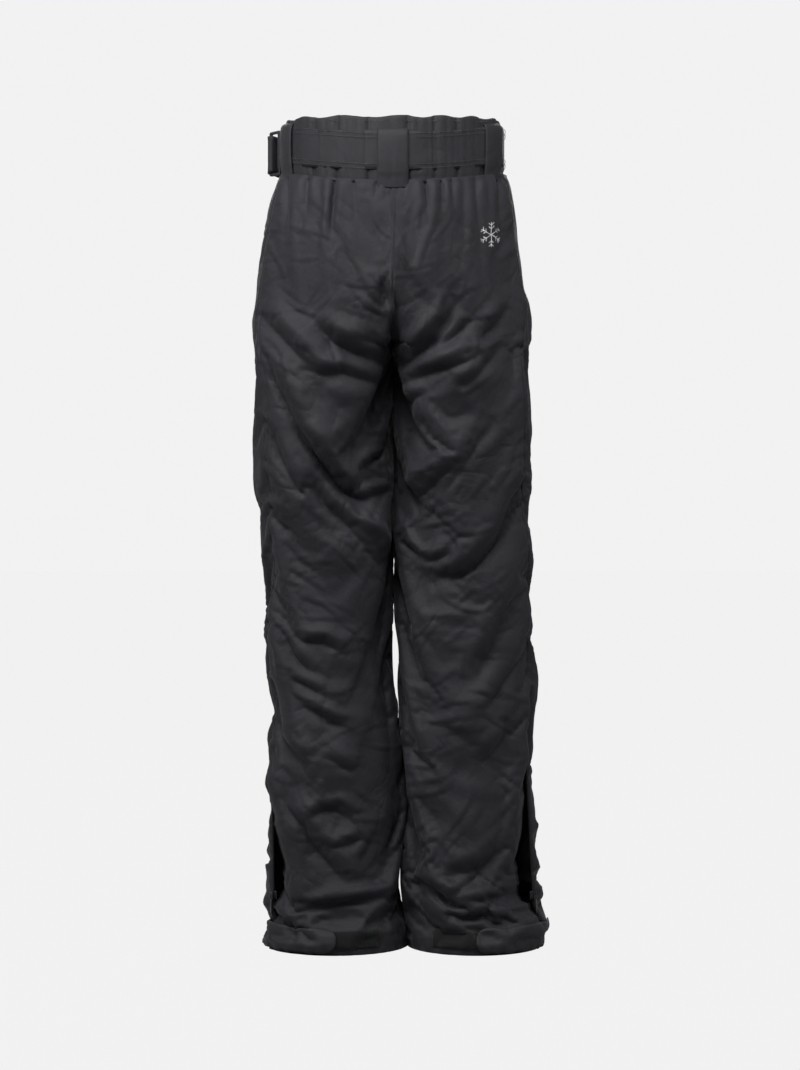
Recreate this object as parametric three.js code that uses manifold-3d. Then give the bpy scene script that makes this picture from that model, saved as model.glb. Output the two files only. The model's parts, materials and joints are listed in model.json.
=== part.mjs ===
// Insulated ski pants, standing upright as they are worn.
// Millimetres. +Z is up, +X the wearer's left, +Y the back. The hems stand on Z = 0.
import * as THREE from "three";
import { mergeVertices } from "three/addons/utils/BufferGeometryUtils.js";
import Module from "manifold-3d";

const wasm = await Module();
wasm.setup();

// ---------------------------------------------------------------- driving dimensions
const CROTCH_Z = 752; // inside leg length
const PANEL_TOP_Z = 937.6; // where the panels are sewn to the waistband, at the back
const BAND_BOTTOM_Z = 938;
const BAND_TOP_Z = 1023;
const WAIST_SIDE_RISE = 18; // the waist stands this much higher at the sides than at the back
const WAIST_FRONT_DROP = 12; // and this much lower at the front
const WAIST_HALF_WIDTH = 137;
const WAIST_HALF_DEPTH = 109;
const ROUNDNESS = 2.25; // superellipse power of the waist and hips
const BACK_RISE_BEND = 120; // height of the curve under the seat
const FRONT_RISE_BEND = 60; // height of the curve under the fly
const SLIT_TOP_Z = 232; // top of the open side zip at the ankle
const GAP = 0.3; // between pieces that are sewn face to face
const CENTRE_GAP = 0.2; // half of the gap between left and right panels

const SHELL = 1.2; // face fabric
const HEM = 2.4; // face fabric turned up twice and stitched
const HEM_HEIGHT = 28;
const LINING = 3.2; // wadding quilted to its taffeta
const CENTRE_SEAM_X = 1.7; // puts the middle of the whole on X = 0
const CENTRE_SEAM_Y = -1.1; // and on Y = 0

// ---------------------------------------------------------------- colours
const cloth = (name, colour) =>
  new THREE.MeshStandardMaterial({ name, color: colour, roughness: 0.82, metalness: 0 });
const shellCloth = cloth("shell cloth", 0x2b2b30);
const bandCloth = cloth("waistband cloth", 0x2e2e33);
const liningCloth = cloth("lining taffeta", 0x17171a);
const webbing = cloth("webbing and elastic", 0x121214);
const hookAndLoop = cloth("hook and loop", 0x0c0c0d);
const zipTape = cloth("zip tape", 0x141416);
const whiteThread = cloth("white thread", 0xe6e6e6);
const plastic = new THREE.MeshStandardMaterial({
  name: "black moulded plastic", color: 0x101012, roughness: 0.45, metalness: 0,
});
const darkMetal = new THREE.MeshStandardMaterial({
  name: "black plated metal", color: 0x1c1c1e, roughness: 0.35, metalness: 0.9,
});

// ---------------------------------------------------------------- curves of the body
const clamp = (v, lo, hi) => Math.min(hi, Math.max(lo, v));
const mix = (a, b, t) => a + (b - a) * t;
const smooth = (t) => {
  const k = clamp(t, 0, 1);
  return k * k * (3 - 2 * k);
};

// A smooth curve through [height, value] knots, straight over its first stretch.
function profile(knots) {
  const slope = (i, j) => (knots[j][1] - knots[i][1]) / (knots[j][0] - knots[i][0]);
  const last = knots.length - 1;
  const tangents = knots.map((_, i) => {
    if (i < 2) return slope(0, 1);
    return i === last ? slope(last - 1, last) : slope(i - 1, i + 1);
  });
  return (z) => {
    if (z >= knots[last][0]) return knots[last][1];
    let i = 0;
    while (i < last - 1 && z > knots[i + 1][0]) i += 1;
    const h = knots[i + 1][0] - knots[i][0];
    const t = clamp((z - knots[i][0]) / h, -1, 1);
    const t2 = t * t;
    const t3 = t2 * t;
    return (
      (2 * t3 - 3 * t2 + 1) * knots[i][1] + (t3 - 2 * t2 + t) * h * tangents[i] +
      (3 * t2 - 2 * t3) * knots[i + 1][1] + (t3 - t2) * h * tangents[i + 1]
    );
  };
}

const outerX = profile([[0, 166], [240, 161], [430, 168], [560, 174], [690, 181], [780, 179],
  [870, 169], [915, 161], [938, 141]]);
const innerX = profile([[0, 6], [240, 3.5], [430, 3], [600, 2], [745, 0.4], [938, 0.4]]);
const halfDepth = profile([[0, 84], [240, 86], [430, 84], [560, 92], [690, 108], [760, 116],
  [938, 116]]);
const legCentreY = profile([[0, 8], [240, 2], [430, 0], [560, 2], [760, 4], [938, 4]]);
const seatY = profile([[0, 118], [760, 118], [830, 126], [900, 121], [938, 110]]);
const flyY = () => -109;

// Where the side seam runs, as a share of the way round from the back of the inside leg.
const sideSeam = profile([[0, 0.456], [240, 0.456], [430, 0.433], [560, 0.4], [690, 0.395],
  [780, 0.41], [870, 0.415], [938, 0.42]]);

function waistRise(y) {
  const t = y / WAIST_HALF_DEPTH;
  return WAIST_SIDE_RISE * (1 - t * t) - WAIST_FRONT_DROP * (t * t - t) / 2;
}
const tilted = (x, y, z) => new THREE.Vector3(x, y, z + waistRise(y) * smooth((z - 800) / 140));

// A point of the left half's outer face. u runs from the centre back (or the back of the
// inside leg) round the side, at about 0.5, to the centre front; z is the height before the tilt.
function facePoint(u, z) {
  const turn = Math.PI * (1 - 2 * u);
  const inner = innerX(z);
  const outer = outerX(z);
  const share = (1 + Math.cos(turn)) / 2;
  const x = mix(inner, outer, share);
  const ringY = legCentreY(z) + halfDepth(z) * Math.sin(turn);
  const reach = Math.pow(Math.max(0, 1 - Math.pow(x / outer, ROUNDNESS)), 1 / ROUNDNESS);
  const hipY = (u < 0.5 ? seatY(z) : flyY(z)) * reach;
  const bend = clamp((z - CROTCH_Z) / (u < 0.5 ? BACK_RISE_BEND : FRONT_RISE_BEND), 0, 1);
  const atSeam = Math.sqrt(1 - (1 - bend) ** 2);
  const atSide = smooth((z - CROTCH_Z + 50) / 180);
  const y = mix(ringY, hipY, mix(atSide, atSeam, Math.abs(1 - 2 * u) ** 4));
  return tilted(Math.max(x, CENTRE_GAP), y, z);
}

function faceNormal(u, z) {
  const v = clamp(u, 0.02, 0.98);
  const du = facePoint(v + 0.004, z).sub(facePoint(v - 0.004, z));
  const dz = facePoint(v, z + 1).sub(facePoint(v, z - 1));
  return dz.cross(du).normalize(); // points out of the body
}

function layerPoint(u, z, depth) {
  const p = facePoint(u, z).addScaledVector(faceNormal(u, z), -depth);
  p.x = Math.max(p.x, CENTRE_GAP);
  if (z === 0) p.z = 0; // the hems are level
  return p;
}

// ---------------------------------------------------------------- making solids
function geometryOf(points, triangles) {
  const g = new THREE.BufferGeometry();
  g.setAttribute("position", new THREE.Float32BufferAttribute(points.flatMap((p) => p.toArray()), 3));
  g.setIndex(triangles.flat());
  return g;
}

// A closed sheet from two grids of points, rows by columns, the outer face and the inner one.
function sheetSolid(outer, inner) {
  const rows = outer.length;
  const cols = outer[0].length;
  const at = (side, i, j) => side * rows * cols + i * cols + j;
  const tris = [];
  const quad = (a, b, c, d) => tris.push([a, b, c], [a, c, d]);
  for (let i = 0; i < rows - 1; i += 1) {
    for (let j = 0; j < cols - 1; j += 1) {
      quad(at(0, i, j), at(0, i + 1, j), at(0, i + 1, j + 1), at(0, i, j + 1));
      quad(at(1, i, j), at(1, i, j + 1), at(1, i + 1, j + 1), at(1, i + 1, j));
    }
    quad(at(1, i, 0), at(1, i + 1, 0), at(0, i + 1, 0), at(0, i, 0));
    quad(at(0, i, cols - 1), at(0, i + 1, cols - 1), at(1, i + 1, cols - 1), at(1, i, cols - 1));
  }
  for (let j = 0; j < cols - 1; j += 1) {
    quad(at(0, 0, j), at(0, 0, j + 1), at(1, 0, j + 1), at(1, 0, j));
    quad(at(1, rows - 1, j), at(1, rows - 1, j + 1), at(0, rows - 1, j + 1), at(0, rows - 1, j));
  }
  return geometryOf([...outer.flat(2), ...inner.flat(2)], tris);
}

// A closed tube through matching rings of points; the first and last ring are capped.
function ringSolid(rings, capShape) {
  const n = rings[0].length;
  const tris = [];
  for (let i = 0; i < rings.length - 1; i += 1) {
    for (let j = 0; j < n; j += 1) {
      const k = (j + 1) % n;
      tris.push([i * n + j, i * n + k, (i + 1) * n + k], [i * n + j, (i + 1) * n + k, (i + 1) * n + j]);
    }
  }
  const faces = THREE.ShapeUtils.triangulateShape(capShape, []);
  const end = (rings.length - 1) * n;
  faces.forEach(([a, b, c]) => {
    tris.push([c, b, a], [end + a, end + b, end + c]);
  });
  return geometryOf(rings.flat(), tris);
}

function outward(geometry) {
  const solid = asSolid(geometry);
  return solid.volume() < 0 ? flipped(geometry) : geometry;
}

function flipped(geometry) {
  const g = geometry.clone();
  const index = g.getIndex().array;
  for (let i = 0; i < index.length; i += 3) [index[i + 1], index[i + 2]] = [index[i + 2], index[i + 1]];
  return g;
}

function asSolid(geometry) {
  const bare = geometry.clone();
  bare.deleteAttribute("normal");
  bare.deleteAttribute("uv");
  const merged = mergeVertices(bare, 1e-3);
  return new wasm.Manifold(new wasm.Mesh({
    numProp: 3,
    vertProperties: merged.attributes.position.array,
    triVerts: new Uint32Array(merged.index.array),
  }));
}

function asGeometry(solid) {
  const m = solid.getMesh();
  const g = new THREE.BufferGeometry();
  const positions = new Float32Array(m.numVert * 3);
  for (let i = 0; i < m.numVert; i += 1) {
    positions.set(m.vertProperties.subarray(i * m.numProp, i * m.numProp + 3), i * 3);
  }
  g.setAttribute("position", new THREE.BufferAttribute(positions, 3));
  g.setIndex(new THREE.BufferAttribute(m.triVerts, 1));
  return g;
}

const minus = (g, ...cuts) => asGeometry(cuts.reduce((s, c) => s.subtract(asSolid(c)), asSolid(g)));
const joined = (g, ...more) => asGeometry(more.reduce((s, c) => s.add(asSolid(c)), asSolid(g)));

const box = (x0, x1, y0, y1, z0, z1) =>
  new THREE.BoxGeometry(x1 - x0, y1 - y0, z1 - z0).translate((x0 + x1) / 2, (y0 + y1) / 2, (z0 + z1) / 2);

// ---------------------------------------------------------------- the garment
const pants = new THREE.Group();
pants.position.set(CENTRE_SEAM_X, CENTRE_SEAM_Y, 0);
const leftSide = new THREE.Group();
const rightSide = new THREE.Group();
rightSide.scale.x = -1;
pants.add(leftSide, rightSide);

// Both legs lean a little to the wearer's right below the knee.
const lean = profile([[0, -15], [240, -7], [450, -2.5], [600, 0], [752, 0]]);

function piece(parent, name, geometry, material) {
  const mesh = new THREE.Mesh(geometry, material);
  mesh.name = name;
  const side = parent === rightSide ? -1 : 1;
  const places = geometry.attributes.position;
  for (let i = 0; i < places.count; i += 1) {
    places.setX(i, places.getX(i) + side * lean(places.getZ(i)));
  }
  parent.add(mesh);
}

// The same piece on both legs.
const pair = (name, geometry, material) => {
  piece(leftSide, `${name}_left`, geometry.clone(), material);
  piece(rightSide, `${name}_right`, geometry.clone(), material);
};

const ROWS = [0, 28, 30, 34, 60, 100, 140, 180, SLIT_TOP_Z, 236, 290, 350, 410, 470, 530, 590, 640, 690,
  725, 750, 760, 774, 794, 820, 850, 880, 905, 924, PANEL_TOP_Z];
const PANEL_COLUMNS = 9;
const HEM_ROUND = 530; // length of the hem, which turns millimetres into shares of u
const ZIP_REVEAL = 4.4; // how far the zip's teeth stand out of the cloth's edge
const SLIT_OPENING = 11; // how far the back edge of the slit gapes
const SEAM_SHARE = 0.001;

const slitBulge = (z) => SLIT_OPENING * Math.sin(Math.PI * clamp(0.28 + 0.72 * (z / SLIT_TOP_Z), 0, 1));
const inSlit = (z) => z <= SLIT_TOP_Z;
const backEdge = (z) =>
  sideSeam(z) - (inSlit(z) ? (ZIP_REVEAL + slitBulge(z)) / HEM_ROUND : SEAM_SHARE);
const frontEdge = (z) => sideSeam(z) + (inSlit(z) ? ZIP_REVEAL / HEM_ROUND : SEAM_SHARE);

const spread = (from, to, steps) =>
  Array.from({ length: steps + 1 }, (_, i) => mix(from, to, i / steps));

// One layer of cloth from depth `skin` to `skin + thick` below the face, through the places
// that stations(z) gives for each row.
function clothPanel(rows, stations, skin, thick) {
  const grid = (depth) => rows.map((z) => stations(z).map((u) => layerPoint(u, z, depth(z))));
  return outward(sheetSolid(grid(() => skin), grid((z) => skin + (z <= HEM_HEIGHT ? HEM : thick))));
}

const FLY_TOP_U = 0.9; // the front panels stop short of the centre along the fly
const FLY_BOTTOM_Z = 824;
const ZIP_ROOM = 17; // what the lining keeps clear of the ankle zip
const zipRoom = (z) => (z <= 236 ? ZIP_ROOM : 3) / HEM_ROUND;
const backStations = (z) => [
  ...spread(SEAM_SHARE, backEdge(z) - zipRoom(z), PANEL_COLUMNS), backEdge(z)];
const frontStations = (z) => {
  const centre = z >= FLY_BOTTOM_Z ? FLY_TOP_U : 1 - SEAM_SHARE;
  return [frontEdge(z), ...spread(frontEdge(z) + zipRoom(z), centre - 0.02, PANEL_COLUMNS), centre];
};

const POCKET_TOP = { u: 0.655, z: 900 };
const POCKET_BOTTOM = { u: 0.585, z: 765 };

// A straight zip between two places on the face: its frame has Y' up the zip and Z' out of it.
function zipFrame(bottom, top, lift) {
  const a = facePoint(bottom.u, bottom.z);
  const b = facePoint(top.u, top.z);
  const along = b.clone().sub(a).normalize();
  const out = faceNormal((bottom.u + top.u) / 2, (bottom.z + top.z) / 2);
  const across = along.clone().cross(out).normalize();
  out.crossVectors(across, along);
  const origin = a.clone().add(b).multiplyScalar(0.5).addScaledVector(out, lift);
  const matrix = new THREE.Matrix4().makeBasis(across, along, out).setPosition(origin);
  return { matrix, length: a.distanceTo(b) };
}

const pocketFrame = zipFrame(POCKET_BOTTOM, POCKET_TOP, 4.2);
const POCKET_SLOT = 11;
const pocketCut = box(-POCKET_SLOT / 2, POCKET_SLOT / 2, -pocketFrame.length / 2 + 6,
  pocketFrame.length / 2 - 6, -30, 20).applyMatrix4(pocketFrame.matrix);

pair("back_panel", clothPanel(ROWS, backStations, 0, SHELL), shellCloth);
pair("front_panel", minus(clothPanel(ROWS, frontStations, 0, SHELL), pocketCut), shellCloth);

// The quilted lining stops above the hem and leaves room for the zips.
const LINING_ROWS = ROWS.slice(3);
pair("quilted_lining_back", clothPanel(LINING_ROWS, (z) => backStations(z).slice(0, -1),
  SHELL + GAP, LINING), liningCloth);
pair("quilted_lining_front", minus(clothPanel(LINING_ROWS, (z) => frontStations(z).slice(1, -1),
  SHELL + GAP, LINING), pocketCut), liningCloth);

// ---------------------------------------------------------------- the waist
// A point on the waist's outline: turn 0 is the wearer's left, 90 the back, 180 the right.
function waistPoint(turn, offset) {
  const outline = (deg) => {
    const c = Math.cos(THREE.MathUtils.degToRad(deg));
    const s = Math.sin(THREE.MathUtils.degToRad(deg));
    const power = 2 / ROUNDNESS;
    return new THREE.Vector2(WAIST_HALF_WIDTH * Math.sign(c) * Math.abs(c) ** power,
      WAIST_HALF_DEPTH * Math.sign(s) * Math.abs(s) ** power);
  };
  const along = outline(turn + 0.5).sub(outline(turn - 0.5)).normalize();
  return outline(turn).add(new THREE.Vector2(along.y, -along.x).multiplyScalar(offset));
}

// A strip with a section of [offset, height] points, swept round the waist.
const WAIST_STEP = 6; // degrees; every layer turns at the same places
function waistTurns(from, to) {
  const first = Math.floor(from / WAIST_STEP) + 1;
  const inside = [];
  for (let k = first; k * WAIST_STEP < to - 0.5; k += 1) inside.push(k * WAIST_STEP);
  return [from, ...inside, to];
}
function waistSweep(section, from, to) {
  const rings = waistTurns(from, to).map((turn) => section.map(([offset, z]) => {
    const p = waistPoint(turn, offset);
    return tilted(p.x, p.y, z);
  }));
  return outward(ringSolid(rings, section.map(([offset, z]) => new THREE.Vector2(offset, z))));
}
const bandSection = (skin, thick, low, high) =>
  [[skin - thick, low], [skin, low], [skin, high], [skin - thick, high]];

const SIDE_TURN = 12; // the side seams of the waistband, behind the wearer's side
const BAND = 2;
const ELASTIC = 1.5;
const OVERLAP_TURN = 258; // the left waistband closes over the right one here
piece(pants, "waistband_back",
  waistSweep(bandSection(0, BAND, BAND_BOTTOM_Z, BAND_TOP_Z), SIDE_TURN, 180 - SIDE_TURN), bandCloth);
const SNAP_TURN = 264;
const SNAP_Z = 1007;
const SNAP_RADIUS = 7;
const snapCentre = waistPoint(SNAP_TURN, 0);
const snapHeight = tilted(snapCentre.x, snapCentre.y, SNAP_Z).z;
const disc = (radius, back, front) => new THREE.CylinderGeometry(radius, radius, front - back, 20)
  .translate(0, (back + front) / 2, 0).rotateX(Math.PI).rotateZ(THREE.MathUtils.degToRad(-4))
  .translate(snapCentre.x, snapCentre.y, snapHeight);
piece(pants, "waistband_front_left", minus(waistSweep(bandSection(0, BAND, BAND_BOTTOM_Z, BAND_TOP_Z),
  OVERLAP_TURN, 360 + SIDE_TURN - 0.2), disc(SNAP_RADIUS + 0.4, -1.6, 3), disc(2.4, -6, 3)), bandCloth);
piece(pants, "waistband_front_right", waistSweep(bandSection(0, BAND, BAND_BOTTOM_Z, BAND_TOP_Z),
  180 - SIDE_TURN + 0.2, OVERLAP_TURN - 0.4), bandCloth);
piece(pants, "waist_underlap", minus(waistSweep(bandSection(-BAND - GAP, 1.6, BAND_BOTTOM_Z + 4,
  BAND_TOP_Z - 2), OVERLAP_TURN - 14, OVERLAP_TURN + 16), disc(2.4, -6, 3)), bandCloth);
piece(pants, "waist_snap_cap", joined(disc(SNAP_RADIUS, -1.2, 0.4), disc(1.8, -2.2, 0)), darkMetal);
piece(pants, "waist_snap_stud", joined(disc(2, -6, -2.6), disc(6, -6.4, -5)), darkMetal);
piece(pants, "waist_elastic", waistSweep(bandSection(-BAND - GAP, ELASTIC, BAND_BOTTOM_Z + 6,
  BAND_TOP_Z - 6), SIDE_TURN + 3, 177 - SIDE_TURN), webbing);
piece(pants, "waistband_facing", waistSweep(bandSection(-BAND - ELASTIC - 2.8, 1.1, BAND_BOTTOM_Z,
  BAND_TOP_Z - 2), -78, 240), liningCloth);

// Belt loops: staples of cloth over the belt, sewn above and below it.
const BELT_LOW = 954;
const BELT_HIGH = 1001;
const LOOP_WIDTH = 38;
const loopSection = [[0.4, 940], [2.2, 940], [2.6, 945], [5.4, 951], [5.4, 1004], [2.6, 1008],
  [2.2, 1012], [0.4, 1012], [0.4, 1006], [3.7, 1002.6], [3.7, 952.4], [0.4, 949]];
const LOOP_REACH = 6; // degrees each side of a loop over which the waist is measured
const loopAngle = (turn) => {
  const span = waistPoint(turn + LOOP_REACH, 3).distanceTo(waistPoint(turn - LOOP_REACH, 3));
  return LOOP_WIDTH * 2 * LOOP_REACH / span;
};
const LOOPS = { back_centre: 90, back_left: 20, back_right: 151, front_left: 294, front_right: 246 };
Object.entries(LOOPS).forEach(([name, turn]) => {
  const half = loopAngle(turn) / 2;
  piece(pants, `belt_loop_${name}`, waistSweep(loopSection, turn - half, turn + half), shellCloth);
});

// The belt: one ribbon from the ring's rear bar round the back, right and front to its front bar.
const BELT_CLOTH = 1.7;
const BELT_OFFSET = 1.9; // middle of the ribbon from the waistband's face
const RING_TILT = THREE.MathUtils.degToRad(40); // the ring stands away from the hip
const RING_LENGTH = 22;
const RING_BAR = 3.2;
const ringCentre = new THREE.Vector2(148.4, -17);
const ringAlong = new THREE.Vector2(Math.sin(RING_TILT), -Math.cos(RING_TILT));
const barOffset = (RING_LENGTH - RING_BAR) / 2;
const rearBar = ringCentre.clone().addScaledVector(ringAlong, -barOffset);
const frontBar = ringCentre.clone().addScaledVector(ringAlong, barOffset);

// Points round a bar, from one compass heading to another.
const roundBar = (centre, radius, from, to, steps) => spread(from, to, steps).map((deg) => {
  const a = THREE.MathUtils.degToRad(deg);
  return new THREE.Vector2(centre.x + radius * Math.cos(a), centre.y + radius * Math.sin(a));
});

// A ribbon of cloth standing on edge: a plan line thickened both ways and raised.
function ribbon(line, thick, low, high) {
  const side = (sign) => line.map((p, i) => {
    const a = line[Math.max(i - 1, 0)];
    const b = line[Math.min(i + 1, line.length - 1)];
    const along = b.clone().sub(a).normalize();
    return p.clone().add(new THREE.Vector2(along.y, -along.x).multiplyScalar(sign * thick / 2));
  });
  const plan = [...side(1), ...side(-1).reverse()];
  const rings = [low, high].map((z) => plan.map((p) => tilted(p.x, p.y, z)));
  return outward(ringSolid(rings, plan));
}
const WRAP = 3.7; // radius of the ribbon's turn round a bar
const beltLine = [
  ...roundBar(rearBar, WRAP, 330, 130, 7),
  ...waistTurns(9, 330).map((turn) => waistPoint(turn, BELT_OFFSET)),
  new THREE.Vector2(139.4, -38),
  ...roundBar(frontBar, WRAP, 150, -20, 7),
];
piece(pants, "belt", ribbon(beltLine, BELT_CLOTH, BELT_LOW, BELT_HIGH), shellCloth);

const BELT_TAB_END = 305;
const tabStart = frontBar.clone().add(new THREE.Vector2(4, -4.3));
const tabLine = [tabStart, ...spread(337, BELT_TAB_END, 9).map((turn) =>
  waistPoint(turn, BELT_OFFSET + 3.6 + 5 * smooth((turn - 322) / 20)))];
piece(pants, "belt_tab", ribbon(tabLine, BELT_CLOTH, BELT_LOW + 1, BELT_HIGH - 1), shellCloth);
const padLine = spread(317, BELT_TAB_END + 2, 5).map((turn) => waistPoint(turn, BELT_OFFSET + 2));
piece(pants, "belt_hook_pad", ribbon(padLine, 1, BELT_LOW + 5, BELT_HIGH - 5), hookAndLoop);

const RING_CENTRE_Z = (BELT_LOW + BELT_HIGH) / 2 + waistRise(ringCentre.y);
const RING_HALF_HEIGHT = (BELT_HIGH - BELT_LOW) / 2 + 1.2;
const ringOutline = (halfLength, halfHeight, corner) => {
  const s = new THREE.Shape();
  s.moveTo(-halfLength + corner, -halfHeight);
  s.lineTo(halfLength - corner, -halfHeight);
  s.absarc(halfLength - corner, -halfHeight + corner, corner, -Math.PI / 2, 0);
  s.absarc(halfLength - corner, halfHeight - corner, corner, 0, Math.PI / 2);
  s.absarc(-halfLength + corner, halfHeight - corner, corner, Math.PI / 2, Math.PI);
  s.absarc(-halfLength + corner, -halfHeight + corner, corner, Math.PI, 1.5 * Math.PI);
  return s;
};
const ringShape = ringOutline(RING_LENGTH / 2, RING_HALF_HEIGHT + RING_BAR, 2.4);
ringShape.holes.push(ringOutline(RING_LENGTH / 2 - RING_BAR, RING_HALF_HEIGHT, 0.8));
const ringGeometry = new THREE.ExtrudeGeometry(ringShape, {
  depth: RING_BAR, curveSegments: 3, bevelEnabled: false,
}).translate(0, 0, -RING_BAR / 2).rotateX(Math.PI / 2)
  .rotateZ(Math.atan2(ringAlong.y, ringAlong.x)).translate(ringCentre.x, ringCentre.y, RING_CENTRE_Z);
piece(pants, "belt_ring", ringGeometry, plastic);

// ---------------------------------------------------------------- zips
// All zips share one make: a tape edge with a bead of teeth, and a slider with a crown that
// holds the pull. In a zip's own frame X is across, Y up the zip and Z out of the cloth.
const TEETH_HALF = 1.1;
const TEETH_FROM_CENTRE = 0.9;
const SLIDER_LENGTH = 10;
const SLIDER_HALF_WIDTH = 4.5;
const PLATE = 1.1;
const PLATE_INNER = 1.95;
const CROWN_TOP = 5.8;
const PULL_AXIS = 4.05;
const PULL_LENGTH = 22;

function sliderGeometry(neckFrom, neckTo) {
  const half = SLIDER_LENGTH / 2;
  const plate = (low, high) => box(-SLIDER_HALF_WIDTH, SLIDER_HALF_WIDTH, -half, half, low, high);
  return joined(
    plate(PLATE_INNER, PLATE_INNER + PLATE),
    plate(-PLATE_INNER - PLATE, -PLATE_INNER),
    box(neckFrom, neckTo, -half, half, -PLATE_INNER - 0.2, PLATE_INNER + 0.2),
    box(-0.8, 0.8, 2.6, 3.6, PLATE_INNER + PLATE - 0.2, CROWN_TOP),
    box(-0.8, 0.8, -3.6, -2.6, PLATE_INNER + PLATE - 0.2, CROWN_TOP),
    box(-0.8, 0.8, -3.6, 3.6, CROWN_TOP - 0.8, CROWN_TOP),
  );
}

// The pull hangs down the zip from a cross bar under the crown.
function pullGeometry() {
  const body = joined(
    box(-2.6, 2.6, -7, 0.6, PULL_AXIS - 0.45, PULL_AXIS + 0.45),
    box(-3, 3, -PULL_LENGTH, -6.4, PULL_AXIS - 0.7, PULL_AXIS + 0.7),
  );
  return minus(body, box(-1.4, 1.4, -5, -0.6, 0, 9));
}

const atZip = (geometry, frame, y) =>
  geometry.clone().translate(0, y, 0).applyMatrix4(frame);

// Pocket zips: a strip over the pocket's mouth with a slot that the slider's neck runs in.
const pocketHalf = pocketFrame.length / 2;
const pocketTape = minus(
  joined(
    box(-8, 8, -pocketHalf, pocketHalf, -0.5, 0.5),
    box(-3.1, 3.1, -pocketHalf + 8, pocketHalf - 8, -TEETH_HALF, TEETH_HALF),
  ),
  box(-TEETH_FROM_CENTRE, TEETH_FROM_CENTRE, -pocketHalf + 8.4, pocketHalf - 8.4, -5, 5),
);
const POCKET_SLIDER_Y = pocketHalf - 8.4 - SLIDER_LENGTH / 2 - 0.6;
pair("pocket_zip_tape", atZip(pocketTape, pocketFrame.matrix, 0), zipTape);
pair("pocket_zip_slider", atZip(sliderGeometry(-0.5, 0.5), pocketFrame.matrix, POCKET_SLIDER_Y), darkMetal);
pair("pocket_zip_pull", atZip(pullGeometry(), pocketFrame.matrix, POCKET_SLIDER_Y), plastic);

const POCKET_BAG_DEPTH = SHELL + LINING + 2 * GAP + 2.2;
const POCKET_BAG_THICK = 2.4;
const bagRows = spread(735, 905, 6);
pair("pocket_bag", clothPanel(bagRows, () => spread(0.57, 0.73, 6), POCKET_BAG_DEPTH,
  POCKET_BAG_THICK), liningCloth);

// Fly zip: two straight tapes down the centre front, closed, with a guard of cloth behind.
const FLY_TOP_Z = 922; // under the waistband at the centre front
const FLY_LOW_Z = 843;
const FLY_FACE = flyY() + 2.1; // middle of the teeth
const flyFrame = new THREE.Matrix4().makeBasis(new THREE.Vector3(1, 0, 0), new THREE.Vector3(0, 0, 1),
  new THREE.Vector3(0, -1, 0)).setPosition(0, FLY_FACE, (FLY_TOP_Z + FLY_LOW_Z) / 2);
const flyHalf = (FLY_TOP_Z - FLY_LOW_Z) / 2;
const flyTape = joined(
  box(TEETH_FROM_CENTRE, 13, -flyHalf, flyHalf, -0.45, 0.45),
  box(TEETH_FROM_CENTRE, TEETH_FROM_CENTRE + 2 * TEETH_HALF, -flyHalf, flyHalf, -TEETH_HALF, TEETH_HALF),
);
const FLY_SLIDER_Y = flyHalf - SLIDER_LENGTH / 2 - 1;
pair("fly_zip_tape", atZip(flyTape, flyFrame, 0), zipTape);
piece(pants, "fly_zip_slider", atZip(sliderGeometry(-0.5, 0.5), flyFrame, FLY_SLIDER_Y), darkMetal);
piece(pants, "fly_zip_pull", atZip(pullGeometry(), flyFrame, FLY_SLIDER_Y), plastic);
piece(pants, "fly_guard", box(-17, 17, FLY_FACE + 4, FLY_FACE + 5.2, FLY_LOW_Z, FLY_TOP_Z - 1), liningCloth);

// Ankle zips: open, one tape on each edge of the slit; the slider rests low on the front tape.
const TAPE_WIDTH = 12;
const TAPE_SKIN = SHELL + 3 * GAP;
// A tape's section in [across, depth]: across is measured from the cloth's edge, outwards into the slit.
const tapeSection = [[-TAPE_WIDTH, TAPE_SKIN], [1.8, TAPE_SKIN], [1.8, 0.1], [4, 0.1], [4, 2.5],
  [3, TAPE_SKIN + 0.8], [-TAPE_WIDTH, TAPE_SKIN + 0.8]];
const BEAD_DEPTH = 1.3; // middle of the teeth below the face
function edgeTape(edge, sign, rows) {
  const rings = rows.map((z) => {
    const u = edge(z);
    const start = facePoint(u, z);
    const out = faceNormal(u, z);
    const across = facePoint(u + 0.004, z).sub(facePoint(u - 0.004, z)).normalize().multiplyScalar(sign);
    return tapeSection.map(([a, d]) => {
      const onFace = layerPoint(u + (sign * a) / HEM_ROUND, z, d);
      return a < 0 ? onFace : start.clone().addScaledVector(across, a).addScaledVector(out, -d);
    });
  });
  return outward(ringSolid(rings, tapeSection.map(([a, d]) => new THREE.Vector2(a, d))));
}
const tapeRows = [32, 34, 60, 100, 140, 180, SLIT_TOP_Z - 2];
pair("ankle_zip_front_tape", edgeTape(frontEdge, -1, tapeRows), zipTape);
pair("ankle_zip_back_tape", edgeTape(backEdge, 1, tapeRows), zipTape);

const ANKLE_SLIDER_Z = 64;
const ankleFrame = (() => {
  const bead = (z) => {
    const u = frontEdge(z);
    const across = facePoint(u - 0.004, z).sub(facePoint(u + 0.004, z)).normalize();
    return facePoint(u, z).addScaledVector(across, 2.9).addScaledVector(faceNormal(u, z), -BEAD_DEPTH);
  };
  const origin = bead(ANKLE_SLIDER_Z);
  const along = bead(SLIT_TOP_Z - 12).sub(origin).normalize();
  const out = faceNormal(frontEdge(140), 140);
  const across = along.clone().cross(out).normalize();
  out.crossVectors(across, along);
  return new THREE.Matrix4().makeBasis(across, along, out).setPosition(origin);
})();
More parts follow.
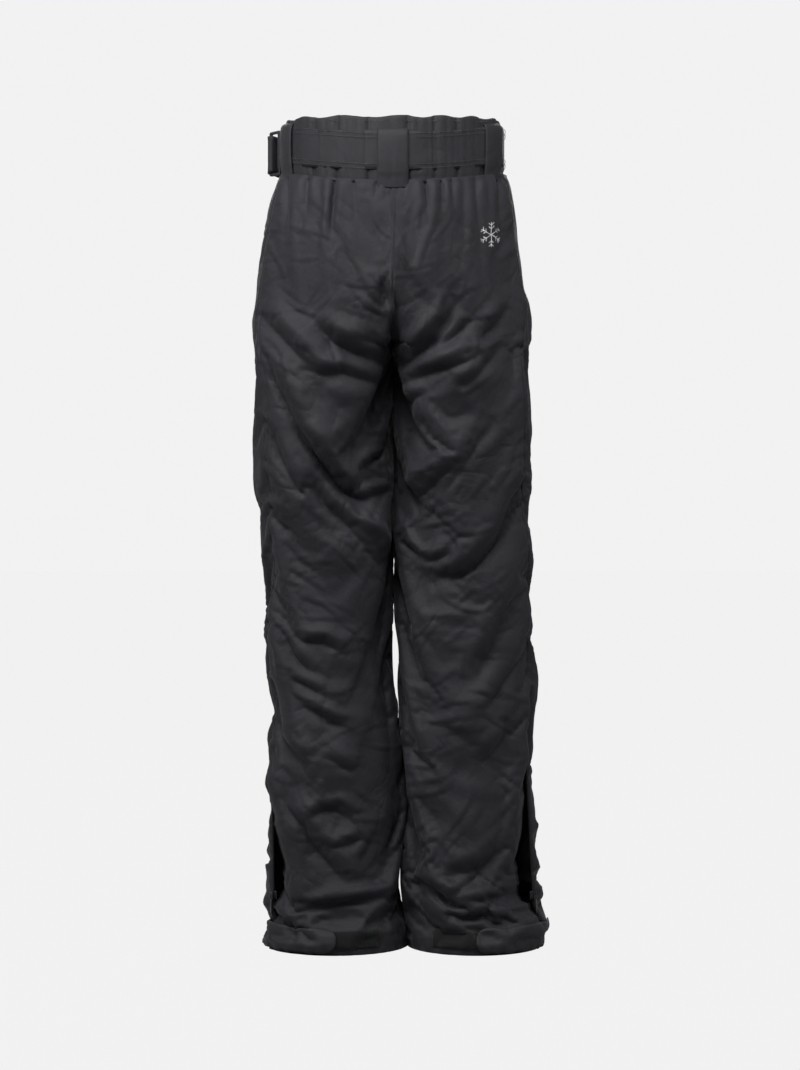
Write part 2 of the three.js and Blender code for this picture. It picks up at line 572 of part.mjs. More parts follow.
// Across points from the front edge into the slit or away from it; the neck sits on the slit's side.
const slitSide = new THREE.Vector3().setFromMatrixColumn(ankleFrame, 0).y > 0 ? 1 : -1;
const neck = slitSide > 0 ? [1.6, 2.6] : [-2.6, -1.6];
pair("ankle_zip_slider", atZip(sliderGeometry(...neck), ankleFrame, 0), darkMetal);
pair("ankle_zip_pull", atZip(pullGeometry(), ankleFrame, 0), plastic);

// ---------------------------------------------------------------- hems
const turnToU = (deg) => 0.5 - deg / 360; // angle behind the wearer's side, on a leg
function hemStrip(from, to, steps, low, high, skin, thick) {
  const grid = (extra) => [low, high].map((z) =>
    spread(from, to, steps).map((deg) => layerPoint(turnToU(deg), z, -skin(deg) - extra)));
  return outward(sheetSolid(grid(thick), grid(0)));
}
const tabSkin = (deg) => mix(0.9, 3.1, smooth(deg / 55)); // sewn down at the side, over the pad behind
pair("hem_loop_strip", hemStrip(60, 128, 8, 8, 30, () => GAP, 1.1), hookAndLoop);
pair("hem_hook_pad", hemStrip(66, 88, 4, 6, 32, () => 1.8, 0.9), hookAndLoop);
pair("hem_tab", hemStrip(-4, 91, 14, 3, 35, tabSkin, 1.4), shellCloth);

// Gaiters inside the ankles, gathered on gripper elastic, with a hook for the boot's lace.
const GAITER_TOP = 205;
const GAITER_LOW = 66;
const gaiterPoint = (u, z, depth) => {
  const sewn = layerPoint(u, z, SHELL + LINING + 3 * GAP + depth);
  const heart = new THREE.Vector3((innerX(z) + outerX(z)) / 2, legCentreY(z), z);
  return sewn.lerp(heart, 0.2 * smooth((GAITER_TOP - z) / (GAITER_TOP - GAITER_LOW)));
};
function gaiterTube(low, high, rows, skin, thick) {
  const ring = (z, depth) => spread(0, 1, 24).slice(0, -1).map((u) => gaiterPoint(u, z, depth));
  const heights = spread(low, high, rows);
  const outer = heights.map((z) => ring(z, skin));
  const inner = heights.map((z) => ring(z, skin + thick));
  const loop = (grid) => grid.map((row) => [...row, row[0].clone()]);
  return outward(openTube(loop(outer), loop(inner)));
}
// A tube with a wall: two closed grids joined at their top and bottom rims.
function openTube(outer, inner) {
  const rows = outer.length;
  const cols = outer[0].length;
  const at = (side, i, j) => side * rows * cols + i * cols + j;
  const tris = [];
  const quad = (a, b, c, d) => tris.push([a, b, c], [a, c, d]);
  for (let j = 0; j < cols - 1; j += 1) {
    for (let i = 0; i < rows - 1; i += 1) {
      quad(at(0, i, j), at(0, i + 1, j), at(0, i + 1, j + 1), at(0, i, j + 1));
      quad(at(1, i, j), at(1, i, j + 1), at(1, i + 1, j + 1), at(1, i + 1, j));
    }
    quad(at(0, 0, j), at(0, 0, j + 1), at(1, 0, j + 1), at(1, 0, j));
    quad(at(1, rows - 1, j), at(1, rows - 1, j + 1), at(0, rows - 1, j + 1), at(0, rows - 1, j));
  }
  return geometryOf([...outer.flat(2), ...inner.flat(2)], tris);
}
pair("gaiter", gaiterTube(GAITER_LOW, GAITER_TOP, 5, 14, 0.8), liningCloth);
pair("gaiter_elastic", gaiterTube(GAITER_LOW + 1, GAITER_LOW + 14, 1, 15.2, 1.4), webbing);
const hookPoint = gaiterPoint(0.75, GAITER_LOW, 14);
const hookShape = new THREE.Shape([[0, -8], [1, -8], [1, 9], [0, 9], [0, -5], [-2.4, -5], [-2.4, -1],
  [-3.2, -1], [-3.2, -6], [-3.2, -8]].map(([x, y]) => new THREE.Vector2(x, y)));
pair("boot_hook", new THREE.ExtrudeGeometry(hookShape, { depth: 9, bevelEnabled: false })
  .translate(0, 0, -4.5).rotateX(Math.PI / 2).rotateZ(Math.PI / 2)
  .translate(hookPoint.x, hookPoint.y - 2.4, GAITER_LOW + 6), darkMetal);

// ---------------------------------------------------------------- trim
// A small embroidered snowflake on the right of the seat: one flat patch of thread.
const MOTIF = { u: 0.325, z: 876, half: 12 };
function motifGeometry() {
  const p = facePoint(MOTIF.u, MOTIF.z);
  const out = faceNormal(MOTIF.u, MOTIF.z);
  const up = new THREE.Vector3(0, 0, 1).addScaledVector(out, -out.z).normalize();
  const across = up.clone().cross(out).normalize();
  const frame = new THREE.Matrix4().makeBasis(across, up, out).setPosition(p.addScaledVector(out, 1.3));
  return new THREE.CylinderGeometry(MOTIF.half, MOTIF.half, 0.8, 12).rotateX(Math.PI / 2).applyMatrix4(frame);
}
piece(rightSide, "seat_motif", motifGeometry(), whiteThread);

export default pants;
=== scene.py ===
"""Insulated ski trousers, standing as they are worn, seen from behind. Metres, +Z up."""
import json
import math

import bpy
import numpy as np
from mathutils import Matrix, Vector


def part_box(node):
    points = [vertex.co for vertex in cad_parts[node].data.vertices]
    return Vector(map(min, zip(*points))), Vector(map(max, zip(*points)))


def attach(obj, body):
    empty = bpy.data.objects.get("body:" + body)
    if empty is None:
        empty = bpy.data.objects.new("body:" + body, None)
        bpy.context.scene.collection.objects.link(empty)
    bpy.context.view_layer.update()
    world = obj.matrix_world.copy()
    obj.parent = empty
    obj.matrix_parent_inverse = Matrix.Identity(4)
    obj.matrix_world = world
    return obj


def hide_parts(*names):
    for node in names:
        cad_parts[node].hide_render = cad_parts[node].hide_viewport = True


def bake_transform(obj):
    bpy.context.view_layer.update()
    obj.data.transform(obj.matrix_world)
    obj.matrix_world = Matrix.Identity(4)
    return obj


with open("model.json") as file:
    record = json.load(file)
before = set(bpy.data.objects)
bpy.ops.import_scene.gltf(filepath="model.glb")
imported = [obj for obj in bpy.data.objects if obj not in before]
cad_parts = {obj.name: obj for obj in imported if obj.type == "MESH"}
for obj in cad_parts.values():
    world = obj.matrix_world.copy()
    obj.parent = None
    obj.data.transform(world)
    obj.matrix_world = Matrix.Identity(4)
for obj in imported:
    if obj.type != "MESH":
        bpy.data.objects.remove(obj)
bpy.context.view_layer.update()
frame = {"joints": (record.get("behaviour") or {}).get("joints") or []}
bpy.ops.object.select_all(action="DESELECT")

# ------------------------------------------------------------------ camera, floor and light
# A tall frame from straight behind, at the middle of the trousers' height, a pale floor that
# runs into a background of the same tone, and large soft lights above and to both sides.
CAMERA_DISTANCE = 2.9
CAMERA_HEIGHT = 0.512
CAMERA_ASIDE = -0.007
FRAME_HEIGHT = 1.344
SENSOR = 0.036
bpy.ops.object.camera_add(location=(CAMERA_ASIDE, CAMERA_DISTANCE, CAMERA_HEIGHT),
                          rotation=(math.pi / 2, 0, math.pi))
camera = bpy.context.object
camera.data.sensor_width = SENSOR * 1000
camera.data.lens = SENSOR * 1000 * CAMERA_DISTANCE / FRAME_HEIGHT
scene = bpy.context.scene
scene.camera = camera
scene.view_settings.view_transform = "Standard"

PALE = (0.886, 0.886, 0.886, 1)
BLUISH_GLOW = (0.80, 0.84, 0.92, 1)
GLOW_STRENGTH = 0.17
FLOOR_GREY = (0.30, 0.30, 0.30, 1)
FLOOR_SHOWN = 0.99


def shown_to_camera(tree, lighting, shown, share, output):
    """The camera sees mostly `shown`, by its share, and everything else sees `lighting`."""
    path = tree.nodes.new("ShaderNodeLightPath")
    part = tree.nodes.new("ShaderNodeMath")
    part.operation = "MULTIPLY"
    part.inputs[1].default_value = share
    blend = tree.nodes.new("ShaderNodeMixShader")
    out = tree.nodes.new(output)
    tree.links.new(path.outputs["Is Camera Ray"], part.inputs[0])
    tree.links.new(part.outputs[0], blend.inputs["Fac"])
    tree.links.new(lighting.outputs[0], blend.inputs[1])
    tree.links.new(shown.outputs[0], blend.inputs[2])
    tree.links.new(blend.outputs["Shader"], out.inputs["Surface"])


world = bpy.data.worlds.new("studio")
scene.world = world
world.use_nodes = True
nodes = world.node_tree.nodes
nodes.clear()
seen = nodes.new("ShaderNodeBackground")
seen.inputs["Color"].default_value = PALE
glow = nodes.new("ShaderNodeBackground")
glow.inputs["Color"].default_value = BLUISH_GLOW
glow.inputs["Strength"].default_value = GLOW_STRENGTH
shown_to_camera(world.node_tree, glow, seen, 1.0, "ShaderNodeOutputWorld")

floor_look = bpy.data.materials.new("pale_floor")
floor_look.use_nodes = True
nodes = floor_look.node_tree.nodes
nodes.clear()
matt = nodes.new("ShaderNodeBsdfDiffuse")
matt.inputs["Color"].default_value = FLOOR_GREY
lit = nodes.new("ShaderNodeEmission")
lit.inputs["Color"].default_value = PALE
shown_to_camera(floor_look.node_tree, matt, lit, FLOOR_SHOWN, "ShaderNodeOutputMaterial")
FLOOR_RADIUS = 30
bpy.ops.mesh.primitive_circle_add(vertices=96, radius=FLOOR_RADIUS, fill_type="NGON")
floor = bpy.context.object
floor.name = "floor"
floor.data.materials.append(floor_look)


def softbox(name, place, aim, size, power):
    """A rectangular area light at a place, turned towards its aim."""
    light = bpy.data.lights.new(name, "AREA")
    light.shape = "RECTANGLE"
    light.size, light.size_y = size
    light.energy = power
    lamp = bpy.data.objects.new(name, light)
    scene.collection.objects.link(lamp)
    lamp.location = place
    lamp.rotation_euler = (Vector(aim) - Vector(place)).to_track_quat("-Z", "Y").to_euler()


softbox("overhead", (0.35, 1.15, 2.15), (0, 0.05, 0.80), (1.3, 0.8), 52)
softbox("side_left", (1.9, 1.0, 1.7), (0, 0, 0.75), (0.6, 1.0), 25)
softbox("side_right", (-1.9, 0.9, 1.6), (0, 0, 0.75), (0.6, 1.0), 19)
softbox("front", (0.0, -2.4, 2.1), (0, 0, 0.6), (2.2, 1.6), 60)

# ------------------------------------------------------------------ shell panels
# Four pieces of woven nylon: a back and a front for each leg, sewn at the side, inside the
# leg and down the middle. They hang from a gathered waist and buckle into folds behind the
# knees, under the seat and on the boots.
guard_low, guard_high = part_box("fly_guard")
SEAM_X = (guard_low[0] + guard_high[0]) / 2
SEAM_Y = -0.0011
LEFT, RIGHT = 1, -1
ROUNDNESS = 2.25
CROTCH_Z = 0.752
TOP_Z = 0.9420
WAIST_DEPTH = 0.109
HEM_ROUND = 0.53


def unit(vectors):
    """The same directions at length one."""
    return vectors / np.linalg.norm(vectors, axis=-1, keepdims=True)


def run_lengths(line):
    """How far along a line each of its points is."""
    return np.concatenate([[0], np.cumsum(np.linalg.norm(np.diff(line, axis=0), axis=1))])


def looked_up(at, places, table):
    """Rows of a table at places between its own."""
    return np.stack([np.interp(at, places, column) for column in table.T], -1)


def profile(knots):
    """A smooth curve through (height, value) knots, level past both ends."""
    z, v = np.array(knots).T
    slope = np.diff(v) / np.diff(z)
    tangent = np.concatenate([slope[:1], slope[:1], (v[3:] - v[1:-2]) / (z[3:] - z[1:-2]), slope[-1:]])

    def value(at):
        at = np.asarray(at, float)
        i = np.clip(np.searchsorted(z, at, side="right") - 1, 0, len(z) - 2)
        h = z[i + 1] - z[i]
        t = np.clip((at - z[i]) / h, 0, 1)
        return ((2 * t**3 - 3 * t**2 + 1) * v[i] + (t**3 - 2 * t**2 + t) * h * tangent[i]
                + (3 * t**2 - 2 * t**3) * v[i + 1] + (t**3 - t**2) * h * tangent[i + 1])

    return value


outer_x = {
    LEFT: profile([(0, .160), (.028, .158), (.054, .157), (.079, .151), (.104, .142), (.129, .141),
                   (.160, .150), (.192, .156), (.235, .161), (.258, .157), (.292, .147), (.318, .147),
                   (.355, .155), (.385, .162), (.430, .161), (.481, .156), (.531, .164), (.581, .170),
                   (.644, .175), (.719, .180), (.769, .181), (.832, .174), (.870, .166), (.890, .1615),
                   (.910, .1560), (.925, .1485), (.938, .1415)]),
    RIGHT: profile([(0, .185), (.016, .189), (.028, .193), (.041, .190), (.054, .182), (.079, .170),
                    (.104, .165), (.129, .168), (.160, .165), (.192, .163), (.229, .159), (.255, .166),
                    (.292, .171), (.380, .171), (.430, .175), (.506, .180), (.581, .177), (.644, .183),
                    (.694, .180), (.744, .176), (.800, .177), (.822, .168), (.860, .1625), (.890, .159),
                    (.910, .1545), (.925, .1485), (.938, .1415)]),
}
# The legs meet on a line that wanders, and stand a little apart at the knee and the calf.
inner_x = {
    LEFT: profile([(0, -.018), (.023, -.016), (.066, -.008), (.085, -.006), (.136, -.012), (.193, -.018),
                   (.250, -.013), (.280, -.006), (.301, -.005), (.326, .000), (.370, .002), (.412, .0005),
                   (.478, -.001), (.510, .0004), (.745, .0004), (.938, .0004)]),
    RIGHT: profile([(0, .0182), (.023, .0162), (.066, .0115), (.085, .0100), (.136, .0122), (.193, .0182),
                    (.250, .0132), (.280, .0082), (.301, .0080), (.326, .0065), (.370, .0080), (.412, .0025),
                    (.478, .0022), (.510, .0006), (.745, .0004), (.938, .0004)]),
}
half_depth = profile([(0, .084), (.240, .086), (.430, .084), (.560, .092), (.690, .108), (.760, .116),
                      (.938, .116)])
leg_centre_y = profile([(0, .008), (.240, .002), (.430, 0), (.560, .002), (.760, .004), (.938, .004)])
seat_y = profile([(0, .118), (.760, .118), (.830, .126), (.900, .121), (.938, .110)])
side_seam = profile([(0, .456), (.240, .456), (.430, .433), (.560, .400), (.690, .395), (.780, .410),
                     (.870, .415), (.938, .420)])


def smooth(t):
    """An even rise from 0 at t = 0 to 1 at t = 1, level on both sides."""
    k = np.clip(t, 0, 1)
    return k * k * (3 - 2 * k)


WAIST_SIDE_RISE, WAIST_FRONT_DROP = 0.018, 0.012


def waist_rise(y):
    """The waistline stands higher at the sides and lower in front than at the back."""
    t = y / WAIST_DEPTH
    return WAIST_SIDE_RISE * (1 - t * t) - WAIST_FRONT_DROP * (t * t - t) / 2


def body(u, z, side):
    """The smooth garment. u runs from the centre back (or the back of the inside leg) round the
    side, near 0.5, to the centre front; z is the height before the waistline's rise and fall."""
    u, z = np.broadcast_arrays(np.asarray(u, float), np.asarray(z, float))
    turn = np.pi * (1 - 2 * u)
    inner, outer = inner_x[side](z), outer_x[side](z)
    x = inner + (outer - inner) * (1 + np.cos(turn)) / 2
    ring_y = leg_centre_y(z) + half_depth(z) * np.sin(turn)
    reach = np.clip(1 - (np.abs(x) / outer) ** ROUNDNESS, 0, 1) ** (1 / ROUNDNESS)
    hip_y = np.where(u < 0.5, seat_y(z), -WAIST_DEPTH) * reach
    bend = np.clip((z - CROTCH_Z) / np.where(u < 0.5, 0.035, 0.06), 0, 1)
    at_seam = np.sqrt(1 - (1 - bend) ** 2)
    at_side = smooth((z - CROTCH_Z + 0.05) / np.where(u < 0.5, 0.11, 0.18))
    k = at_side + (at_seam - at_side) * np.abs(1 - 2 * u) ** 4
    y = ring_y + (hip_y - ring_y) * k
    rise = waist_rise(y) * smooth((z - 0.8) / 0.14)
    return np.stack([SEAM_X + side * x, SEAM_Y + y, z + rise], -1)


def body_normal(u, z, side):
    """The outward direction of the smooth garment."""
    v = np.clip(u, 0.02, 0.98)
    du = body(v + 0.004, z, side) - body(v - 0.004, z, side)
    dz = body(v, z + 0.001, side) - body(v, z - 0.001, side)
    return unit(np.cross(dz, du) * side)


# A fold is a line of places (across from the centre seam towards the wearer's left, height),
# the half width of its hollow and how deep it is. A roll of cloth stands along its upper side.
BACK_FOLDS = [
    ([(.171, .791), (.143, .761), (.119, .735), (.096, .722)], .010, .0060),
    ([(.101, .773), (.076, .751), (.052, .737), (.004, .724)], .009, .0075),
    ([(.122, .722), (.090, .714), (.064, .716), (.010, .700)], .008, .0050),
    ([(.022, .831), (.012, .806), (.004, .785)], .007, .0030),
    ([(.056, .757), (.030, .752), (.004, .743)], .006, .0035),
    ([(.160, .742), (.149, .700), (.113, .639), (.064, .579), (.034, .548)], .011, .0080),
    ([(.113, .656), (.089, .607), (.060, .572), (.030, .556)], .007, .0050),
    ([(.107, .592), (.085, .556), (.054, .528), (.030, .492), (.004, .470)], .009, .0062),
    ([(.052, .540), (.036, .520), (.010, .482)], .006, .0040),
    ([(.036, .600), (.022, .610), (.008, .614)], .005, .0036),
    ([(.042, .560), (.026, .566), (.008, .568)], .005, .0036),
    ([(.150, .640), (.135, .600), (.110, .570)], .007, .0030),
    ([(-.004, .718), (-.030, .732), (-.052, .752), (-.070, .775), (-.079, .806)], .009, .0085),
    ([(-.060, .744), (-.080, .758), (-.100, .776)], .006, .0045),
    ([(-.108, .748), (-.130, .770), (-.147, .796)], .008, .0055),
    ([(-.018, .700), (-.050, .716), (-.074, .724), (-.120, .740)], .008, .0070),
    ([(-.082, .698), (-.110, .716), (-.143, .750)], .008, .0050),
    ([(-.006, .681), (-.026, .683), (-.050, .694)], .006, .0040),
    ([(-.132, .660), (-.110, .636), (-.093, .610), (-.059, .566)], .010, .0048),
    ([(-.080, .612), (-.056, .590), (-.035, .571), (-.006, .562)], .009, .0075),
    ([(-.150, .566), (-.137, .523), (-.106, .487), (-.075, .468), (-.040, .474)], .011, .0070),
    ([(-.038, .486), (-.054, .492), (-.074, .502)], .006, .0045),
    ([(-.010, .508), (-.020, .502), (-.036, .490)], .005, .0030),
    ([(.124, .396), (.110, .391), (.086, .390), (.061, .377)], .006, .0045),
    ([(.132, .392), (.122, .372), (.102, .350)], .006, .0038),
    ([(.126, .342), (.108, .338), (.088, .326)], .005, .0042),
    ([(.112, .314), (.090, .301), (.064, .282)], .006, .0042),
    ([(.146, .278), (.130, .256), (.100, .243)], .008, .0050),
    ([(.084, .252), (.066, .240), (.046, .227)], .006, .0035),
    ([(.136, .200), (.108, .165), (.080, .122), (.050, .086)], .009, .0065),
    ([(.102, .174), (.084, .183), (.066, .182), (.044, .166)], .007, .0048),
    ([(.084, .144), (.068, .136), (.050, .138), (.028, .147)], .006, .0040),
    ([(.038, .116), (.028, .130), (.019, .150)], .005, .0030),
    ([(.105, .060), (.080, .066), (.050, .068), (-.008, .070)], .007, .0050),
    ([(-.138, .418), (-.128, .392), (-.106, .338)], .010, .0042),
    ([(-.150, .362), (-.136, .336), (-.116, .304)], .009, .0040),
    ([(-.146, .280), (-.130, .258), (-.110, .236)], .008, .0040),
    ([(-.022, .086), (-.050, .080), (-.078, .068), (-.112, .050)], .009, .0085),
    ([(-.058, .100), (-.080, .104), (-.112, .113), (-.142, .140)], .008, .0052),
    ([(-.072, .078), (-.092, .090), (-.116, .110)], .006, .0040),
    ([(-.084, .076), (-.112, .074), (-.144, .076)], .006, .0036),
    ([(-.066, .052), (-.090, .049), (-.120, .050)], .006, .0036),
]
FRONT_FOLDS = [
    ([(.020, .742), (.060, .756), (.100, .784), (.125, .812)], .009, .0060),
    ([(.016, .716), (.050, .724), (.092, .742)], .008, .0050),
    ([(.150, .640), (.110, .600), (.060, .574), (.030, .570)], .011, .0050),
    ([(.130, .520), (.090, .492), (.050, .486), (.020, .500)], .009, .0058),
    ([(.140, .430), (.100, .408), (.060, .404), (.030, .414)], .009, .0050),
    ([(.030, .350), (.070, .330), (.120, .342)], .008, .0038),
    ([(.140, .212), (.100, .178), (.050, .160)], .009, .0050),
    ([(.010, .120), (.050, .104), (.100, .108), (.140, .128)], .009, .0062),
    ([(.010, .070), (.050, .058), (.100, .062)], .007, .0050),
    ([(-.018, .736), (-.060, .752), (-.104, .786)], .009, .0062),
    ([(-.014, .700), (-.056, .712), (-.100, .736), (-.140, .770)], .009, .0048),
    ([(-.150, .610), (-.110, .570), (-.064, .552), (-.030, .556)], .010, .0052),
    ([(-.140, .500), (-.096, .470), (-.050, .468), (-.016, .484)], .009, .0060),
    ([(-.150, .452), (-.120, .424), (-.070, .412)], .008, .0044),
    ([(-.030, .322), (-.080, .312), (-.126, .330)], .008, .0036),
    ([(-.150, .180), (-.110, .150), (-.060, .142), (-.030, .150)], .009, .0054),
    ([(-.040, .098), (-.090, .084), (-.150, .096)], .009, .0064),
    ([(-.040, .056), (-.090, .052), (-.140, .060)], .007, .0042),
]
FOLD_DEPTH = 1.7
FAR_AWAY = 1e9


def fold_height(across, height, folds):
    """How far the folds push each place out (or in, below zero)."""
    total = np.zeros_like(across)
    for line, width, depth in folds:
        line = np.array(line)
        if line[0, 0] > line[-1, 0]:
            line = line[::-1]
        starts = run_lengths(line)
        best = np.full_like(across, FAR_AWAY)
        signed = np.zeros_like(across)
        along = np.zeros_like(across)
        for (ax, az), (bx, bz), start, length in zip(line[:-1], line[1:], starts, np.diff(starts)):
            ex, ez = (bx - ax) / length, (bz - az) / length
            t = np.clip((across - ax) * ex + (height - az) * ez, 0, length)
            dx, dz = across - ax - t * ex, height - az - t * ez
            far = np.hypot(dx, dz)
            nearer = far < best
            best = np.where(nearer, far, best)
            signed = np.where(nearer, np.sign(ex * dz - ez * dx) * far, signed)
            along = np.where(nearer, (start + t) / starts[-1], along)
        taper = np.clip(np.sin(np.pi * np.clip(along, 0, 1)), 0, 1) ** 0.7 * 0.94 + 0.06
        hollow = np.exp(-np.sqrt((signed / width) ** 2 + 0.05))
        roll = np.exp(-(((signed - 1.9 * width) / (1.35 * width)) ** 2))
        total += FOLD_DEPTH * depth * taper * (0.75 * roll - 1.1 * hollow)
    return total


# Small sharp creases between the folds, running with them: down towards the crotch on the
# seat and thighs, and more level below.
def scattered_creases(seed, count):
    """(across, height, heading, half length, width, depth, curve) of each crease."""
    random = np.random.default_rng(seed)
    made = []
    for _ in range(count):
        across, height = random.uniform(0.006, 0.175), random.uniform(0.05, 0.90) ** 0.95
        slant = np.interp(height, [0, .15, .35, .50, .62, .76, .92], [.2, .5, .1, .7, 1.0, .5, 1.2])
        heading = slant + random.normal(0, 0.42)
        made.append((across, height, heading, random.uniform(0.012, 0.038), random.uniform(0.0016, 0.0032),
                     random.uniform(0.0004, 0.0013), random.normal(0, 6)))
    return made


BACK, FRONT = 0, 1
CREASE_SEED = 40
CREASE_COUNT = 190
SMALL_CREASES = {(side, face): scattered_creases(CREASE_SEED + 2 * side + face, CREASE_COUNT)
                 for side in (LEFT, RIGHT) for face in (BACK, FRONT)}


def crease_height(across, height, side, face):
    """How far the small creases of one face of a half push each place out."""
    total = np.zeros_like(across)
    for x, z, heading, half_length, width, depth, curve in SMALL_CREASES[side, face]:
        near = np.abs(height - z) < half_length + 0.012
        dx, dz = side * across[near] - x, height[near] - z
        along = dx * math.cos(heading) + dz * math.sin(heading)
        off = dz * math.cos(heading) - dx * math.sin(heading) - curve * along**2
        fade = np.clip(1 - (along / half_length) ** 2, 0, 1)
        sharp = np.exp(-np.sqrt((off / width) ** 2 + 0.04))
        roll = np.exp(-(((off - 2.0 * width) / (1.6 * width)) ** 2))
        total[near] += depth * fade * (0.8 * roll - 1.0 * sharp)
    return total


# Fine unevenness of padded cloth: long low waves in fixed random directions.
rng = np.random.default_rng(7)
WAVE_COUNT = 26
WAVE_DEPTH = 0.0085
WAVES = [(rng.uniform(0.030, 0.120), rng.uniform(-1.1, 1.1), rng.uniform(0, 6.28), rng.uniform(0, 6.28))
         for _ in range(WAVE_COUNT)]


def ripple(s, z):
    """Height of the waves at a place round the leg and up it."""
    total = np.zeros_like(s)
    for length, heading, phase, drift in WAVES:
        k = 2 * np.pi / length
        phase_here = k * (s * math.sin(heading) + z * math.cos(heading)) + phase
        patch = np.sin(2 * np.pi * (s * 3.1 + z * 2.3) + drift)
        bent = phase_here + 0.8 * np.sin(phase_here * 0.37 + drift)
        total += WAVE_DEPTH * length * np.sin(bent) * (0.5 + 0.5 * patch)
    return total


# Pleats under the waistband: place across from the centre seam, length down the cloth, depth.
PLEATS = [(.070, .050, .0055), (.046, .022, .0025), (.104, .036, .0035), (.128, .050, .0040),
          (-.039, .032, .0045), (-.058, .030, .0040), (-.070, .024, .0030), (-.100, .034, .0035),
          (-.128, .048, .0045), (.020, .020, .0020)]
PLEAT_DEPTH = 1.5
RUFFLE_LENGTH, RUFFLE_DEPTH = 0.017, 0.0005


def gathers(across, s, z):
    """Pleats where the cloth is drawn in to the waistband."""
    below = TOP_Z - z
    phase = s * 2 * np.pi / RUFFLE_LENGTH + 1.7 * np.sin(s * 41.0)
    total = np.sin(phase) * RUFFLE_DEPTH * np.exp(-((below / 0.018) ** 2))
    for place, length, depth in PLEATS:
        off = across - place - 0.10 * below * np.sign(place)
        sharp = np.exp(-np.sqrt((off / 0.0032) ** 2 + 0.04))
        rolls = np.exp(-(((np.abs(off) - 0.0075) / 0.0055) ** 2))
        total = total + PLEAT_DEPTH * depth * (0.5 * rolls - 1.0 * sharp) * np.exp(-((below / length) ** 2))
    return total


# The seam down the middle of the back is folded over to the right and stitched down flat.
FELL_WIDTH, FELL_THICK = 0.0105, 0.0010


def relief(u, z, side):
    """Height of the cloth over the smooth garment."""
    p = body(u, z, side)
    n = body_normal(u, z, side)
    across, height = p[..., 0] - SEAM_X, p[..., 2]
    back = smooth((n[..., 1] + 0.05) / 0.35)
    front = smooth((-n[..., 1] + 0.05) / 0.35)
    folds = back * (fold_height(across, height, BACK_FOLDS) + crease_height(across, height, side, BACK))
    folds += front * (fold_height(across, height, FRONT_FOLDS) + crease_height(across, height, side, FRONT))
    seat = smooth((z - 0.78) / 0.06)
    s = side * (u - 0.5) * HEM_ROUND
    from_centre = np.minimum(u, 1 - u)
    at_centre = smooth(from_centre / 0.03)
    folds = folds * (1 - smooth((z - 0.70) / 0.05) * (1 - at_centre))
    lift = folds + ripple(s, z) * (1 - 0.6 * seat) * smooth(from_centre / (0.03 + 0.06 * seat))
    if side == RIGHT:
        lift = lift + FELL_THICK * smooth((FELL_WIDTH - u * HEM_ROUND) / 0.0016) * smooth((z - 0.77) / 0.01)
    lift = (lift + gathers(across, s, z) * at_centre) * smooth((TOP_Z + 0.004 - z) / 0.014)
    return lift * (0.25 + 0.75 * smooth((z - 0.012) / 0.05)) * smooth((z + 0.006) / 0.02)


# Cloth simulation on a coarse copy of each half: the cloth is cut a little larger than the
# body, so it buckles between its sewn edges. The fine panels then follow that movement.
SIM_STEP = 0.0065
SIM_GROWTH = 0.028
SIM_FRAMES = 20
SIM_LIMIT = 0.011


def grid_faces(rows, cols):
    """Four-cornered faces between the neighbours of a grid of points."""
    a = (np.arange(rows - 1)[:, None] * cols + np.arange(cols - 1)).ravel()
    return np.stack([a, a + 1, a + cols + 1, a + cols], 1)


def new_mesh(name, points, faces):
    mesh = bpy.data.meshes.new(name)
    mesh.from_pydata([tuple(p) for p in points.reshape(-1, 3)], [], [tuple(f) for f in faces])
    mesh.update()
    obj = bpy.data.objects.new(name, mesh)
    scene.collection.objects.link(obj)
    return obj


def settled(side):
    """(places along u, places along z, how far each place moved) for one half."""
    z = np.arange(0, TOP_Z + SIM_STEP / 2, SIM_STEP)
    u = np.linspace(0, 1, round(HEM_ROUND / SIM_STEP) + 1)
    uu, zz = np.meshgrid(u, z)
    start = body(uu, zz, side) + body_normal(uu, zz, side) * relief(uu, zz, side)[..., None]
    cloth = new_mesh("settling", start, grid_faces(*uu.shape))
    held = cloth.vertex_groups.new(name="held")
    centre = np.exp(-np.minimum(uu, 1 - uu) * HEM_ROUND / 0.006)
    seam = np.exp(-np.abs(uu - side_seam(zz)) * HEM_ROUND / 0.004) * 0.6
    ends = np.maximum(np.exp(-zz / 0.008), np.exp(-(TOP_Z - zz) / 0.010))
    weight = np.clip(np.maximum(np.maximum(centre, seam), ends), 0, 1).ravel()
    for i in np.nonzero(weight > 0.02)[0]:
        held.add([int(i)], float(weight[i]), "REPLACE")
    modifier = cloth.modifiers.new("cloth", "CLOTH")
    s = modifier.settings
    s.quality = 6
    s.mass = 0.25
    s.tension_stiffness = s.compression_stiffness = 22
    s.shear_stiffness = 9
    s.bending_stiffness = 0.3
    s.air_damping = 3
    s.shrink_min = -SIM_GROWTH
    s.vertex_group_mass = "held"
    s.use_pressure = True
    s.uniform_pressure_force = 0.15
    s.effector_weights.gravity = 0.35
    modifier.collision_settings.use_collision = False
    modifier.point_cache.frame_end = SIM_FRAMES
    for step in range(1, SIM_FRAMES + 1):
        scene.frame_set(step)
    done = cloth.evaluated_get(bpy.context.evaluated_depsgraph_get()).data
    flat = np.empty(len(done.vertices) * 3)
    done.vertices.foreach_get("co", flat)
    moved = flat.reshape(start.shape) - start
    bpy.data.objects.remove(cloth)
    scene.frame_set(1)
    far = np.linalg.norm(moved, axis=-1, keepdims=True)
    return u, z, moved * np.minimum(1, SIM_LIMIT / np.maximum(far, 1e-9))


movement = {side: settled(side) for side in (LEFT, RIGHT)}


